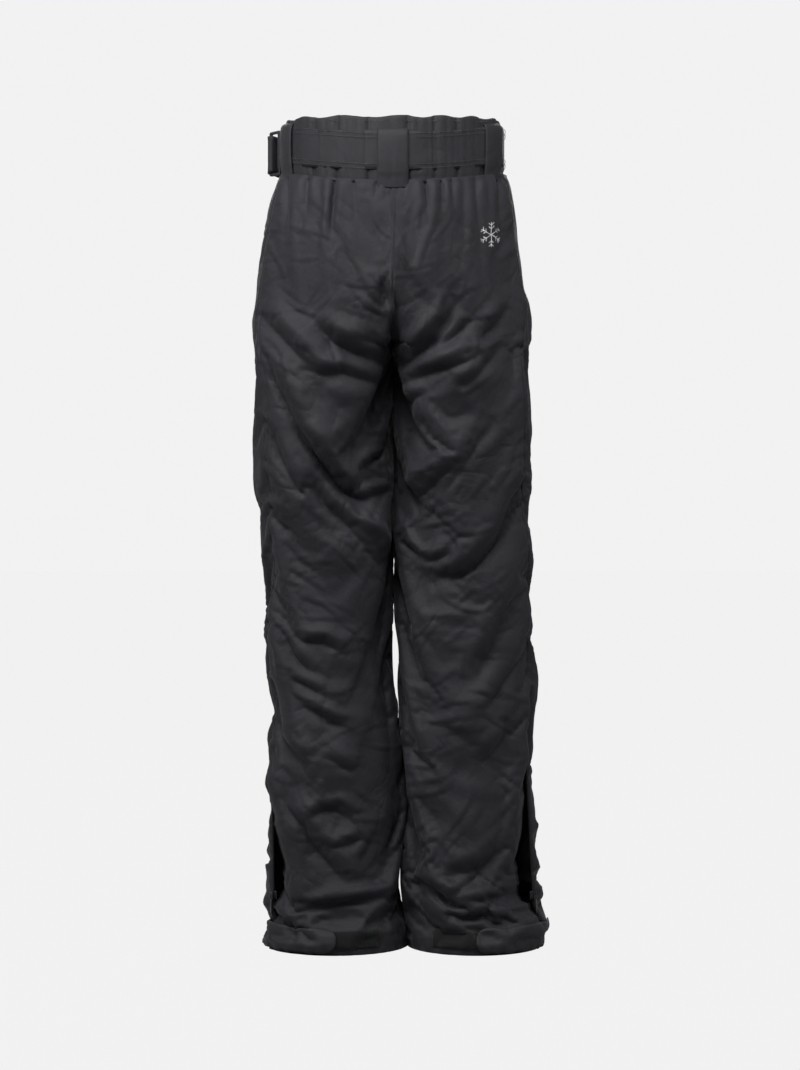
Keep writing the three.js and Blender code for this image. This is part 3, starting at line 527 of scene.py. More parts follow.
def cubic(count, at):
    """Catmull-Rom neighbours and weights for places `at` in a table of `count` even steps."""
    i = np.clip(np.floor(at).astype(int), 0, count - 2)
    t = (at - i)[:, None]
    weights = np.concatenate([-t**3 + 2 * t**2 - t, 3 * t**3 - 5 * t**2 + 2,
                              -3 * t**3 + 4 * t**2 + t, t**3 - t**2], 1) / 2
    return np.clip(i[:, None] + np.arange(-1, 3), 0, count - 1), weights


def drift(u, z, side):
    """How far the cloth settled here, held still along the waist and the centre back."""
    us, zs, moved = movement[side]
    shape = np.shape(u)
    ui, uw = cubic(len(us), np.ravel(np.clip(u, 0, 1)) * (len(us) - 1))
    zi, zw = cubic(len(zs), np.ravel(np.clip(z / zs[-1], 0, 1)) * (len(zs) - 1))
    total = np.zeros((ui.shape[0], 3))
    for a in range(4):
        for b in range(4):
            total += moved[zi[:, a], ui[:, b]] * (zw[:, a] * uw[:, b])[:, None]
    seat = smooth((z - 0.74) / 0.05)
    total *= smooth((TOP_Z - np.ravel(z)) / 0.03)[:, None]
    calm = 1 - seat * (1 - smooth(np.minimum(u, 1 - u) / 0.10))
    return total.reshape(*shape, 3) * (calm * (1 - 0.45 * seat))[..., None]


def loose_cloth(u, z, side, lift=0.0):
    """A place on the cloth as it would hang without its zips, `lift` outside its face."""
    u, z = np.broadcast_arrays(np.asarray(u, float), np.asarray(z, float))
    n = body_normal(u, z, side)
    smooth_place = body(u, z, side)
    p = smooth_place + n * (relief(u, z, side) + lift)[..., None] + drift(u, z, side)
    sewn_down = (1 - smooth((u * HEM_ROUND - 0.003) / 0.012)) * smooth((z - 0.765) / 0.02)
    p[..., 0] += (smooth_place[..., 0] - p[..., 0]) * sewn_down
    over = side * (SEAM_X - p[..., 0]) + inner_x[side](z)
    p[..., 0] += side * np.clip(over, 0, None)
    return p


# The zips run straight, so the cloth beside them is drawn to the line that each slider follows.
SLIT_TOP_Z = 0.232
SLIT_GAPE = 0.024
ZIP_REVEAL = 0.0044
SEAM_GAP = 0.0002
BEAD_DEPTH = 0.0013
BEAD_REACH = 0.0029
joints = {joint["name"]: joint for joint in frame["joints"]}


def slit_gape(z):
    """How far the back edge of the open zip stands away from the front edge."""
    open_share = np.sin(np.pi * np.clip(0.06 + 0.94 * z / SLIT_TOP_Z, 0, 1))
    return np.where(z < SLIT_TOP_Z, SLIT_GAPE * open_share, 0)


def back_edge(z):
    """Where the back panel ends at the side, along the seam and then the slit."""
    return side_seam(z) - np.where(z <= SLIT_TOP_Z, ZIP_REVEAL + slit_gape(z), SEAM_GAP) / HEM_ROUND


def front_edge(z):
    """Where the front panel ends at the side."""
    return side_seam(z) + np.where(z <= SLIT_TOP_Z, ZIP_REVEAL, SEAM_GAP) / HEM_ROUND


def slider_line(slider, joint, z):
    """The slider's middle at each height of its travel, and the way it runs."""
    low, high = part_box(slider)
    middle = (np.array(low) + np.array(high)) / 2
    way = np.array(joints[joint]["axis"], float)
    return middle + way * ((z - middle[2]) / way[2])[:, None], way * np.sign(way[2])


def beside_slit(z, side):
    """Along the cloth from the front edge of the slit into it."""
    u = front_edge(z)
    return unit(body(u - 0.004, z, side) - body(u + 0.004, z, side))


POCKET_LOW, POCKET_HIGH = (.585, .765), (.655, .900)
POCKET_LIFT = 0.0030


def pocket_u(z):
    """The pocket's sloping line."""
    (low_u, low_z), (high_u, high_z) = POCKET_LOW, POCKET_HIGH
    return low_u + (high_u - low_u) * (z - low_z) / (high_z - low_z)


def zip_pull(side):
    """Tables of height and of how far the loose cloth is from where each zip holds it."""
    tag = "left" if side == LEFT else "right"
    z = np.linspace(0.030, SLIT_TOP_Z, 70)
    line, _ = slider_line(f"ankle_zip_slider_{tag}", f"ankle_slider_slide_{tag}", z)
    u = front_edge(z)
    place = line - beside_slit(z, side) * BEAD_REACH + body_normal(u, z, side) * BEAD_DEPTH
    ankle = (z, place - loose_cloth(u, z, side))
    z = np.linspace(POCKET_LOW[1], POCKET_HIGH[1], 50)
    line, _ = slider_line(f"pocket_zip_slider_{tag}", f"pocket_slider_slide_{tag}", z)
    u = pocket_u(z)
    out = body_normal(u, z, side)
    away = np.sum((line - loose_cloth(u, z, side)) * out, -1, keepdims=True) - POCKET_LIFT
    return ankle, (z, out * away)


def held_by_zips(u, z, side):
    """How far the zips draw the cloth here, fading with the distance from them."""
    (ankle_z, ankle_pull), (pocket_z, pocket_pull) = pulls[side]
    beside = (u - front_edge(z)) * HEM_ROUND
    near = smooth(1 - beside / 0.075) * (beside > -0.0001) + (beside <= -0.0001) * np.where(
        z < SLIT_TOP_Z, 1 - slit_gape(z) / SLIT_GAPE, 1) * smooth(1 + beside / 0.075)
    near = near * smooth((0.270 - z) / 0.038) * smooth((z - 0.022) / 0.032)
    moved = near[..., None] * looked_up(z, ankle_z, ankle_pull)
    beside = (u - pocket_u(np.clip(z, POCKET_LOW[1], POCKET_HIGH[1]))) * HEM_ROUND
    beyond = np.maximum(POCKET_LOW[1] - z, z - POCKET_HIGH[1])
    near = np.exp(-np.clip((np.abs(beside) - 0.014) / 0.024, 0, None) ** 2) * smooth(1 - beyond / 0.025)
    return moved + near[..., None] * looked_up(z, pocket_z, pocket_pull)


pulls = {side: zip_pull(side) for side in (LEFT, RIGHT)}


def cloth_at(u, z, side, lift=0.0):
    """A place on the finished shell, `lift` outside its face."""
    u, z = np.broadcast_arrays(np.asarray(u, float), np.asarray(z, float))
    return loose_cloth(u, z, side, lift) + held_by_zips(u, z, side)


SHELL_THICK = 0.0012
ROW_STEP = 0.0025


def finish_sheet(obj, thick, material):
    """Gives a one-sided grid its thickness inwards and a smooth surface."""
    for polygon in obj.data.polygons:
        polygon.use_smooth = True
    if thick:
        solid = obj.modifiers.new("thickness", "SOLIDIFY")
        solid.thickness = thick
        solid.offset = -1
        bpy.context.view_layer.objects.active = obj
        bpy.ops.object.modifier_apply(modifier=solid.name)
    obj.data.materials.append(material)
    return obj


def add_uv(obj, across, along, faces):
    """A UV map in metres along the cloth."""
    layer = obj.data.uv_layers.new(name="cloth")
    flat = np.stack([across.ravel(), along.ravel()], 1)[np.asarray(faces).ravel()]
    layer.data.foreach_set("uv", flat.ravel())


def grid_sheet(name, points, across, along, thick, material, outside=1):
    """A sheet of cloth from a grid of points, with its own measures in metres as its UV map."""
    faces = grid_faces(*points.shape[:2])
    if outside < 0:
        faces = faces[:, ::-1]
    obj = new_mesh(name, points, faces)
    add_uv(obj, across, along, faces)
    return finish_sheet(obj, thick, material)


# The materials share two effects: a plain weave with threads of a given width, and slow
# patches of tone.
def group(name, inputs, outputs):
    """A node group with its sockets; returns its tree and its two ends."""
    tree = bpy.data.node_groups.new(name, "ShaderNodeTree")
    for label, kind, value in inputs:
        socket = tree.interface.new_socket(label, in_out="INPUT", socket_type=kind)
        if value is not None:
            socket.default_value = value
    for label, kind in outputs:
        tree.interface.new_socket(label, in_out="OUTPUT", socket_type=kind)
    return tree, tree.nodes.new("NodeGroupInput"), tree.nodes.new("NodeGroupOutput")


def math_node(tree, operation, a, b=None, c=None):
    """The result of a sum of sockets and numbers."""
    node = tree.nodes.new("ShaderNodeMath")
    node.operation = operation
    for socket, value in zip(node.inputs, (a, b, c)):
        if value is None:
            continue
        if isinstance(value, (int, float)):
            socket.default_value = value
        else:
            tree.links.new(value, socket)
    return node.outputs[0]


weave, start, end = group(
    "weave", [("Place", "NodeSocketVector", None), ("Thread", "NodeSocketFloat", 0.0005)],
    [("Height", "NodeSocketFloat")])
split = weave.nodes.new("ShaderNodeSeparateXYZ")
weave.links.new(start.outputs["Place"], split.inputs[0])
turns = math_node(weave, "DIVIDE", math.pi, start.outputs["Thread"])
warp = math_node(weave, "SINE", math_node(weave, "MULTIPLY", split.outputs["X"], turns))
weft = math_node(weave, "SINE", math_node(weave, "MULTIPLY", split.outputs["Y"], turns))
weave.links.new(math_node(weave, "MULTIPLY", warp, weft), end.inputs["Height"])

patches, start, end = group("patches", [("Place", "NodeSocketVector", None), ("Size", "NodeSocketFloat", 0.1),
                                        ("Low", "NodeSocketFloat", 0.9), ("High", "NodeSocketFloat", 1.1)],
                            [("Tone", "NodeSocketFloat")])
cloud = patches.nodes.new("ShaderNodeTexNoise")
cloud.inputs["Detail"].default_value = 5
cloud.inputs["Roughness"].default_value = 0.6
patches.links.new(start.outputs["Place"], cloud.inputs["Vector"])
patches.links.new(math_node(patches, "DIVIDE", 1.0, start.outputs["Size"]), cloud.inputs["Scale"])
spread = patches.nodes.new("ShaderNodeMapRange")
spread.inputs["From Min"].default_value = 0.3
spread.inputs["From Max"].default_value = 0.7
patches.links.new(cloud.outputs["Fac"], spread.inputs["Value"])
patches.links.new(start.outputs["Low"], spread.inputs["To Min"])
patches.links.new(start.outputs["High"], spread.inputs["To Max"])
patches.links.new(spread.outputs["Result"], end.inputs["Tone"])


def patchy_material(name, colour, roughness, size, low, high):
    """A principled material whose tone and roughness vary in patches; returns its parts."""
    look = bpy.data.materials.new(name)
    look.use_nodes = True
    tree = look.node_tree
    shader = tree.nodes["Principled BSDF"]
    place = tree.nodes.new("ShaderNodeTexCoord")
    shade = tree.nodes.new("ShaderNodeGroup")
    shade.node_tree = patches
    for label, value in (("Size", size), ("Low", low), ("High", high)):
        shade.inputs[label].default_value = value
    tree.links.new(place.outputs["Object"], shade.inputs["Place"])
    tone = shade.outputs["Tone"]
    tint = tree.nodes.new("ShaderNodeVectorMath")
    tint.operation = "SCALE"
    tint.inputs[0].default_value = colour
    tree.links.new(tone, tint.inputs["Scale"])
    tree.links.new(tint.outputs[0], shader.inputs["Base Color"])
    tree.links.new(math_node(tree, "MULTIPLY", tone, roughness), shader.inputs["Roughness"])
    return look, tree, shader, place, tone, tint


def noise(tree, place, scale, detail, distortion=0.0):
    """Fractal noise in the object's own coordinates."""
    node = tree.nodes.new("ShaderNodeTexNoise")
    node.inputs["Scale"].default_value = scale
    node.inputs["Detail"].default_value = detail
    node.inputs["Distortion"].default_value = distortion
    tree.links.new(place.outputs["Object"], node.inputs["Vector"])
    return node.outputs["Fac"]


def bumped(tree, height, strength, distance, under=None):
    """The normal that a height gives, on top of the normal under it."""
    node = tree.nodes.new("ShaderNodeBump")
    node.inputs["Strength"].default_value = strength
    node.inputs["Distance"].default_value = distance
    tree.links.new(height, node.inputs["Height"])
    if under:
        tree.links.new(under, node.inputs["Normal"])
    return node.outputs["Normal"]


PATCH_SIZE = 0.06
BEND_DISTANCE, CRUMPLE_DISTANCE = 0.0015, 0.0012
BEND_SLOPE = 9.0


def cloth_material(name, colour, thread, roughness, sheen=0.1, bump=0.25, crumple=0.0, own_uv=True,
                   tone=0.12):
    """Woven cloth: thread-scale weave, slow patches of tone, and optional creases and crumple."""
    look, tree, shader, place, shade, tint = patchy_material(name, colour, roughness, PATCH_SIZE,
                                                             1 - tone, 1 + tone)
    threads = tree.nodes.new("ShaderNodeGroup")
    threads.node_tree = weave
    threads.inputs["Thread"].default_value = thread
    tree.links.new(place.outputs["UV" if own_uv else "Object"], threads.inputs["Place"])
    weave_height = threads.outputs["Height"]
    # The weave's height also scales the colour: painted shade in the hollows between the threads and painted
    # highlight on their raised crowns.
    painted_weave_shade = math_node(tree, "MULTIPLY_ADD", weave_height, 0.08, 1.0)
    tree.links.new(math_node(tree, "MULTIPLY", shade, painted_weave_shade), tint.inputs["Scale"])
    shader.inputs["Sheen Weight"].default_value = sheen
    shader.inputs["Sheen Roughness"].default_value = 0.45
    shader.inputs["Specular IOR Level"].default_value = 0.22
    under = None
    if crumple:
        bends = math_node(tree, "SUBTRACT", noise(tree, place, 11, 2, 1.2), 0.5)
        slope = math_node(tree, "MULTIPLY", math_node(tree, "ABSOLUTE", bends), BEND_SLOPE)
        under = bumped(tree, math_node(tree, "MINIMUM", slope, 1.0), crumple, BEND_DISTANCE)
        under = bumped(tree, noise(tree, place, 95, 4, 0.8), crumple, CRUMPLE_DISTANCE, under)
    tree.links.new(bumped(tree, weave_height, bump, thread * 0.5, under), shader.inputs["Normal"])
    return look


shell_look = cloth_material("shell_nylon", (.0104, .0098, .0130), 0.00045, 0.56, sheen=0.05, bump=0.35,
                            crumple=0.5)

SEAM_SHARE = 0.001
SEAM_ROLL = 0.0020
FLY_TOP_U = 0.9
FLY_BOTTOM_Z, FLY_OPEN_RUN = 0.836, 0.014


def fly_edge(z):
    """The front panels stop short of the centre along the fly."""
    t = np.clip((z - FLY_BOTTOM_Z) / FLY_OPEN_RUN, 0, 1)
    return (1 - SEAM_SHARE) + (FLY_TOP_U - 1 + SEAM_SHARE) * t


WAIST_ROWS_Z = 0.93
heights = np.concatenate([np.arange(0, WAIST_ROWS_Z, ROW_STEP), np.linspace(WAIST_ROWS_Z, TOP_Z, 4)])


def fitted(obj, body_name, node=None):
    """Puts a piece on its body, in place of a CAD node if one is named."""
    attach(obj, body_name)
    if node:
        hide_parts(node)
    return obj


def sewn(name, node, points, across, along, thick, look, body_name="garment", outside=1):
    """A sheet that stands for a node: made from a grid, riding on its body."""
    return fitted(grid_sheet(name, points, across, along, thick, look, outside), body_name, node)


BACK_COLUMNS, FRONT_COLUMNS = 98, 112


def panel(name, side, start_of, end_of, columns):
    """A shell panel whose long edges roll in to its seams."""
    close = np.array([0, 0.0035, 0.007, 0.011])
    share = np.concatenate([close, np.linspace(0.016, 0.984, columns - 8), 1 - close[::-1]])
    z = np.repeat(heights[:, None], columns, 1)
    first, last = start_of(heights)[:, None], end_of(heights)[:, None]
    u = first + (last - first) * share
    from_edge = np.minimum(u - first, last - u) * HEM_ROUND
    points = cloth_at(u, z, side, lift=-SEAM_ROLL * np.exp(-from_edge / 0.0014))
    return sewn(f"shell_{name}", name, points, (u - 0.5) * HEM_ROUND, z, SHELL_THICK, shell_look,
                outside=side)


for side, tag in ((LEFT, "left"), (RIGHT, "right")):
    back = panel(f"back_panel_{tag}", side, lambda z: np.full_like(z, SEAM_SHARE), back_edge,
                 BACK_COLUMNS)
    front = panel(f"front_panel_{tag}", side, front_edge, fly_edge, FRONT_COLUMNS)


# ------------------------------------------------------------------ quilted lining
# Wadding stitched to a thin taffeta in lozenges, hanging inside the shell from the waistband to
# just above the hem. It shows only from above and below.
lining_look = cloth_material("lining_taffeta", (.014, .014, .017), 0.0003, 0.42, sheen=0.05, bump=0.2)
lining_heights = np.linspace(0.034, TOP_Z - 0.001, 150)
LINING_COLUMNS = 44
LOZENGE, QUILT_DEPTH = 0.060, 0.0022


def quilting(across, z):
    """Lozenges pulled in along their stitched edges."""
    a = np.abs(np.sin(np.pi * (across + z) / LOZENGE))
    b = np.abs(np.sin(np.pi * (across - z) / LOZENGE))
    return QUILT_DEPTH * (np.minimum(a, b) ** 0.5 - 1)


def lining(name, side, start_of, end_of, inset):
    """A panel of the lining, kept back from the slit at its inset ends."""
    z = np.repeat(lining_heights[:, None], LINING_COLUMNS, 1)
    room = np.where(lining_heights < SLIT_TOP_Z + 0.004, 0.017, 0.003) / HEM_ROUND
    first, last = start_of(lining_heights) + inset[0] * room, end_of(lining_heights) - inset[1] * room
    u = first[:, None] + (last - first)[:, None] * np.linspace(0, 1, LINING_COLUMNS)
    across = (u - 0.5) * HEM_ROUND
    points = cloth_at(u, z, side, lift=-0.0044 + quilting(across, z))
    return sewn(f"quilted_{name}", f"quilted_lining_{name}", points, across, z, 0.0008, lining_look,
                outside=side)


for side, tag in ((LEFT, "left"), (RIGHT, "right")):
    piece = lining(f"back_{tag}", side, lambda z: np.full_like(z, 0.004), back_edge, (0, 1))
    piece = lining(f"front_{tag}", side, front_edge, lambda z: fly_edge(z) - 0.012, (1, 0))

# ------------------------------------------------------------------ waistband
# A folded band of the shell cloth, gathered on wide elastic across the back and smooth in
# front, where its left end laps over the right one and over an underlap behind it.
BAND_LOW, BAND_HIGH = 0.938, 1.023
RIM_LOW, RIM_DIP, RIM_CORNER = 0.005, 0.012, 0.010
WAIST_WIDTH = 0.137
SIDE_TURN = 12
OVERLAP_TURN = 258


def waist_plan(turn, offset):
    """Places round the waist: 0 is the wearer's left, 90 the back. Offset is outwards."""
    def outline(degrees):
        c, s = np.cos(np.radians(degrees)), np.sin(np.radians(degrees))
        power = 2 / ROUNDNESS
        return np.stack([WAIST_WIDTH * np.sign(c) * np.abs(c) ** power,
                         WAIST_DEPTH * np.sign(s) * np.abs(s) ** power], -1)
    along = unit(outline(turn + 0.5) - outline(turn - 0.5))
    out = np.stack([along[..., 1], -along[..., 0]], -1)
    return outline(turn) + out * np.asarray(offset)[..., None]


def lifted(plan, z):
    """A plan place raised to height z on the waistline, in the garment's place."""
    return np.stack([SEAM_X + plan[..., 0], SEAM_Y + plan[..., 1], z + waist_rise(plan[..., 1])], -1)


def round_waist(start, end, step=0.5):
    """Angles between two places and how far each is along the waist, in metres."""
    turns = np.linspace(start, end, int(abs(end - start) / step) + 1)
    return turns, run_lengths(waist_plan(turns, np.zeros_like(turns)))


def puffs(s, strength):
    """Uneven upright pleats of gathered cloth: broad puffs parted by narrow creases."""
    wander = s + 0.006 * np.sin(s * 23.0) + 0.004 * np.sin(s * 51.0 + 1.3)
    part = np.abs(((wander / 0.036) % 1) - 0.5) * 2
    small = np.abs((((wander + 0.004) / 0.0145) % 1) - 0.5) * 2
    creases = np.exp(-((1 - part) / 0.16))
    return strength * (0.7 - 1.7 * creases + 0.35 * np.sin(small * np.pi / 2))


band_look = cloth_material("waistband_nylon", (.0112, .0106, .0135), 0.00045, 0.54, sheen=0.05, bump=0.35,
                           crumple=0.35)


def rim_drop(turn):
    """How far the band's worn rim has sunk, most at the two sides."""
    from_side = np.minimum(turn % 180, 180 - turn % 180)
    across = waist_plan(turn, np.zeros_like(turn))[..., 1] / WAIST_DEPTH
    return RIM_LOW + RIM_DIP * (1 - across**2) + RIM_CORNER * np.clip(1 - from_side / 24, 0, 1) ** 2


BAND_ROWS = 30


def band(name, node, start, end, gathered, low=BAND_LOW, high=BAND_HIGH, face=0.0, look=None):
    """The outer face of the band, rolled over its top edge."""
    turns, s = round_waist(start, end)
    rows = np.concatenate([np.linspace(low, high - 0.002, BAND_ROWS),
                           [high, high + 0.0008, high, high - 0.004]])
    rolled = np.concatenate([np.zeros(BAND_ROWS), [-0.0004, -0.0018, -0.0034, -0.0040]])
    z = np.repeat(rows[:, None], len(turns), 1)
    t = np.broadcast_to(turns, z.shape)
    here = np.broadcast_to(s, z.shape)
    share = (z - low) / (high - low)
    ends = smooth(np.minimum(here, s[-1] - here) / 0.02)
    swell = 0.0016 * np.sin(np.pi * np.clip(share, 0, 1))
    swell = swell + puffs(here, gathered) * (0.55 + 0.9 * np.abs(share - 0.5))
    offset = face + rolled[:, None] + swell * ends
    plan = waist_plan(t, offset)
    upper = smooth((share - 0.35) / 0.65)
    wave = np.sin(here * 2 * np.pi / 0.052 + 1.5 * np.sin(here * 23.0))
    top = gathered * 0.6 * wave * upper * ends
    points = lifted(plan, z + top - rim_drop(t) * upper)
    piece = sewn(name, node, points, here, z, 0.0014, look or band_look)


band("band_back", "waistband_back", SIDE_TURN, 180 - SIDE_TURN, 0.0024)
band("band_front_left", "waistband_front_left", OVERLAP_TURN, 360 + SIDE_TURN - 0.2, 0.0007)
band("band_front_right", "waistband_front_right", 180 - SIDE_TURN + 0.2, OVERLAP_TURN - 0.4, 0.0007)
band("band_underlap", "waist_underlap", OVERLAP_TURN - 14, OVERLAP_TURN + 16, 0, low=0.942, high=1.019,
     face=-0.0030)
band("band_facing", "waistband_facing", -78, 240, 0.0008, high=1.0205, face=-0.0056, look=lining_look)

# ------------------------------------------------------------------ belt
# A flat belt of doubled shell cloth, edge-stitched, threaded through the loops. Both ends turn
# round the bars of a moulded ring at the left hip; the front one folds back as a tab.
BELT_LOW, BELT_HIGH = 0.954, 1.001
BELT_OFFSET = 0.0019
RING_TILT = math.radians(40)
RING_LENGTH, RING_BAR = 0.022, 0.0032
RING_PLAN = np.array([0.1484, -0.017])
ring_along = np.array([math.sin(RING_TILT), -math.cos(RING_TILT)])
rear_bar = RING_PLAN - ring_along * (RING_LENGTH - RING_BAR) / 2
front_bar = RING_PLAN + ring_along * (RING_LENGTH - RING_BAR) / 2
belt_look = cloth_material("belt_nylon", (.0122, .0116, .0146), 0.00045, 0.54, sheen=0.05, bump=0.35,
                           crumple=0.3)


def round_bar(centre, radius, start, end, steps=14):
    """A plan line round one bar of the ring, between two angles."""
    a = np.radians(np.linspace(start, end, steps))
    return np.stack([centre[0] + radius * np.cos(a), centre[1] + radius * np.sin(a)], -1)


RIBBON_STEP, RIBBON_ROWS = 0.0025, 13


def even_line(line):
    """The same plan line with even spacing, and how far along it each place is."""
    s = run_lengths(line)
    at = np.linspace(0, s[-1], max(4, int(s[-1] / RIBBON_STEP)))
    return looked_up(at, s, line), at


def ribbon(name, node, line, low, high, thick, look, body_name="garment", sway=None):
    """Cloth standing on edge along a plan line. sway(s, share) gives (outwards, upwards)."""
    line, s = even_line(np.asarray(line))
    along = unit(np.gradient(line, axis=0))
    out = np.stack([along[:, 1], -along[:, 0]], -1)
    share = np.linspace(0, 1, RIBBON_ROWS)[:, None] * np.ones(len(s))
    here = np.broadcast_to(s, share.shape)
    push, lift = sway(here, share) if sway else (np.zeros_like(share), np.zeros_like(share))
    plan = line[None] + out[None] * (push + thick / 2)[..., None]
    points = lifted(plan, low + (high - low) * share + lift)
    return sewn(name, node, points, here, low + (high - low) * share, thick, look, body_name)


belt_turns = np.linspace(9, 330, 240)
belt_line = np.concatenate([
    round_bar(rear_bar, 0.0037, 330, 130),
    waist_plan(belt_turns, np.full_like(belt_turns, BELT_OFFSET)),
    [[0.1394, -0.038]],
    round_bar(front_bar, 0.0037, 150, -20),
])


def belt_sway(s, share):
    """How far the belt stands off the band and strays up or down along its length."""
    edge = np.abs(share - 0.5) * 2
    push = 0.0006 * np.sin(s * 2 * np.pi / 0.11 + 0.8) + 0.0005 * np.sin(s * 2 * np.pi / 0.047)
    push = push - 0.0004 * smooth((edge - 0.80) / 0.1)
    lift = 0.0012 * np.sin(s * 2 * np.pi / 0.19 + 1.0)
    return push, lift + 0.0006 * np.sin(s * 2 * np.pi / 0.083) * (share - 0.5)


belt = ribbon("belt_cloth", "belt", belt_line, BELT_LOW, BELT_HIGH, 0.0017, belt_look,
              sway=belt_sway)
tab_turns = np.linspace(337, 305, 30)
tab_line = np.concatenate([
    [front_bar + np.array([0.004, -0.0043])],
    waist_plan(tab_turns, BELT_OFFSET + 0.0036 + 0.005 * smooth((tab_turns - 322) / 20)),
])
tab = ribbon("belt_tab_cloth", "belt_tab", tab_line, BELT_LOW + 0.001, BELT_HIGH - 0.001, 0.0017,
             belt_look, "belt_tab")
nap_look = cloth_material("hook_and_loop", (.0045, .0050, .0047), 0.0008, 0.85, sheen=0.06, bump=0.8,
                          own_uv=False, tone=0.3)
pad_turns = np.linspace(317, 307, 12)
pad = ribbon("belt_tab_hooks", "belt_hook_pad", waist_plan(pad_turns, np.full(12, BELT_OFFSET + 0.0021)),
             BELT_LOW + 0.005, BELT_HIGH - 0.005, 0.0009, nap_look, "belt_tab")

# Belt loops: doubled strips of shell cloth, sewn above and below the belt. The section gives
# how far each stands off the waist at each height.
LOOP_WIDTH = 0.038
LOOP_SECTION = [(0.0040, .9330), (0.0042, .940), (0.0046, .9465), (0.0056, .953), (0.0064, .966),
                (0.0066, .980), (0.0064, .992), (0.0060, .9975), (0.0050, 1.0015), (0.0034, 1.0035),
                (0.0022, 1.0045)]
LOOPS = {"back_centre": 90, "back_left": 20, "back_right": 151, "front_left": 294, "front_right": 246}
for name, turn in LOOPS.items():
    ends = waist_plan(np.array([turn - 6.0, turn + 6.0]), np.array([0.003, 0.003]))
    half = LOOP_WIDTH * 6 / float(np.linalg.norm(ends[1] - ends[0]))
    section = np.array(LOOP_SECTION)
    lengths = run_lengths(section)
    at = np.linspace(0, lengths[-1], 40)
    offset = np.interp(at, lengths, section[:, 0])[:, None]
    z = np.interp(at, lengths, section[:, 1])[:, None]
    t = np.linspace(turn - half, turn + half, 15)[None]
    across = (t - turn) / half
    crown = 0.0009 * (1 - across**2) - 0.0008 * smooth((np.abs(across) - 0.86) / 0.14)
    points = lifted(waist_plan(t + 0 * z, offset + crown), z + 0 * t)
    piece = sewn(f"loop_{name}", f"belt_loop_{name}", points, across * LOOP_WIDTH / 2 + 0 * z,
                 at[:, None] + 0 * t, 0.0016, belt_look)

# ------------------------------------------------------------------ hard pieces
# Moulded and cast pieces are taken as made, their flats joined up and their edges rounded.
def solid_material(name, colour, roughness, metallic=0.0, grain=0.0006, bump=0.1):
    """A hard finish: a fine grain in its surface and a faint cloudiness."""
    look, tree, shader, place, _, _ = patchy_material(name, colour, roughness, 0.008, 0.82, 1.22)
    shader.inputs["Metallic"].default_value = metallic
    speckle = noise(tree, place, 1 / grain, 2)
    tree.links.new(bumped(tree, speckle, bump, grain * 0.3), shader.inputs["Normal"])
    return look


plastic_look = solid_material("moulded_plastic", (.016, .016, .018), 0.42, bump=0.3)
metal_look = solid_material("black_plated_metal", (.055, .055, .060), 0.34, metallic=1.0, bump=0.12)


def rounded(node, edge, look, body_name):
    """A finished copy of a hard piece."""
    obj = bpy.data.objects.new(f"cast_{node}", bpy.data.objects[node].data.copy())
    scene.collection.objects.link(obj)
    obj.data.materials.clear()
    bpy.ops.object.select_all(action="DESELECT")
    bpy.context.view_layer.objects.active = obj
    obj.select_set(True)
    bpy.ops.object.mode_set(mode="EDIT")
    bpy.ops.mesh.select_all(action="SELECT")
    bpy.ops.mesh.remove_doubles(threshold=0.00002)
    bpy.ops.mesh.dissolve_limited(angle_limit=math.radians(2))
    bpy.ops.object.mode_set(mode="OBJECT")
    bevel = obj.modifiers.new("edges", "BEVEL")
    bevel.width = edge
    bevel.segments = 3
    bevel.limit_method = "ANGLE"
    bevel.angle_limit = math.radians(40)
    bevel.use_clamp_overlap = True
    bpy.ops.object.modifier_apply(modifier=bevel.name)
    bpy.ops.object.shade_smooth_by_angle(angle=math.radians(35))
    obj.data.materials.append(look)
    obj.select_set(False)
    fitted(obj, body_name, node)


rounded("belt_ring", 0.0008, plastic_look, "garment")
rounded("waist_snap_cap", 0.0007, metal_look, "garment")
rounded("waist_snap_stud", 0.0004, metal_look, "garment")
for tag in ("left", "right"):
    rounded(f"boot_hook_{tag}", 0.0003, metal_look, "garment")
SLIDERS = [("fly_zip", "fly"), ("pocket_zip", "pocket"), ("ankle_zip", "ankle")]
for zip_name, body_name in SLIDERS:
    for tag in ([""] if body_name == "fly" else ["_left", "_right"]):
        rounded(f"{zip_name}_slider{tag}", 0.00035, metal_look, f"{body_name}_slider{tag}")
        rounded(f"{zip_name}_pull{tag}", 0.00035, plastic_look, f"{body_name}_pull{tag}")

# ------------------------------------------------------------------ ankle zips
# Open zips down the outside of each ankle: a woven tape sewn under each edge of the slit, with
# moulded teeth along it. The slider is parked low on the front tape.
tape_look = cloth_material("zip_tape", (.0085, .0085, .0100), 0.0006, 0.66, sheen=0.12, bump=0.6)
teeth_look = solid_material("zip_teeth", (.020, .020, .022), 0.36, bump=0.15)
TOOTH_PITCH = 0.0021
TOOTH = (0.0012, 0.00058, 0.0011)
CLOSED_TOOTH = (0.0013, 0.0005, 0.0011)
ANKLE_TEETH_LENGTH = 0.196


def blocks(name, middles, across, along, out, size, look, taper=0.7, body_name="garment"):
    """Small tapered blocks, one at each place, each with its own three directions."""
    corners = np.array([[sx, sy * (taper if sx > 0 else 1), sz] for sx in (-1, 1) for sy in (-1, 1)
                        for sz in (-1, 1)]) * np.asarray(size)
    faces = np.array([[0, 1, 3, 2], [4, 6, 7, 5], [0, 4, 5, 1], [2, 3, 7, 6], [0, 2, 6, 4], [1, 5, 7, 3]])
    frames = np.stack([across, along, out], -2)
    points = middles[:, None] + np.einsum("ck,nkj->ncj", corners, frames)
    if np.linalg.det(frames[0]) < 0:
        faces = faces[:, ::-1]
    every = (faces[None] + 8 * np.arange(len(middles))[:, None, None]).reshape(-1, 4)
    obj = new_mesh(name, points, every)
    obj.data.materials.append(look)
    fitted(obj, body_name)


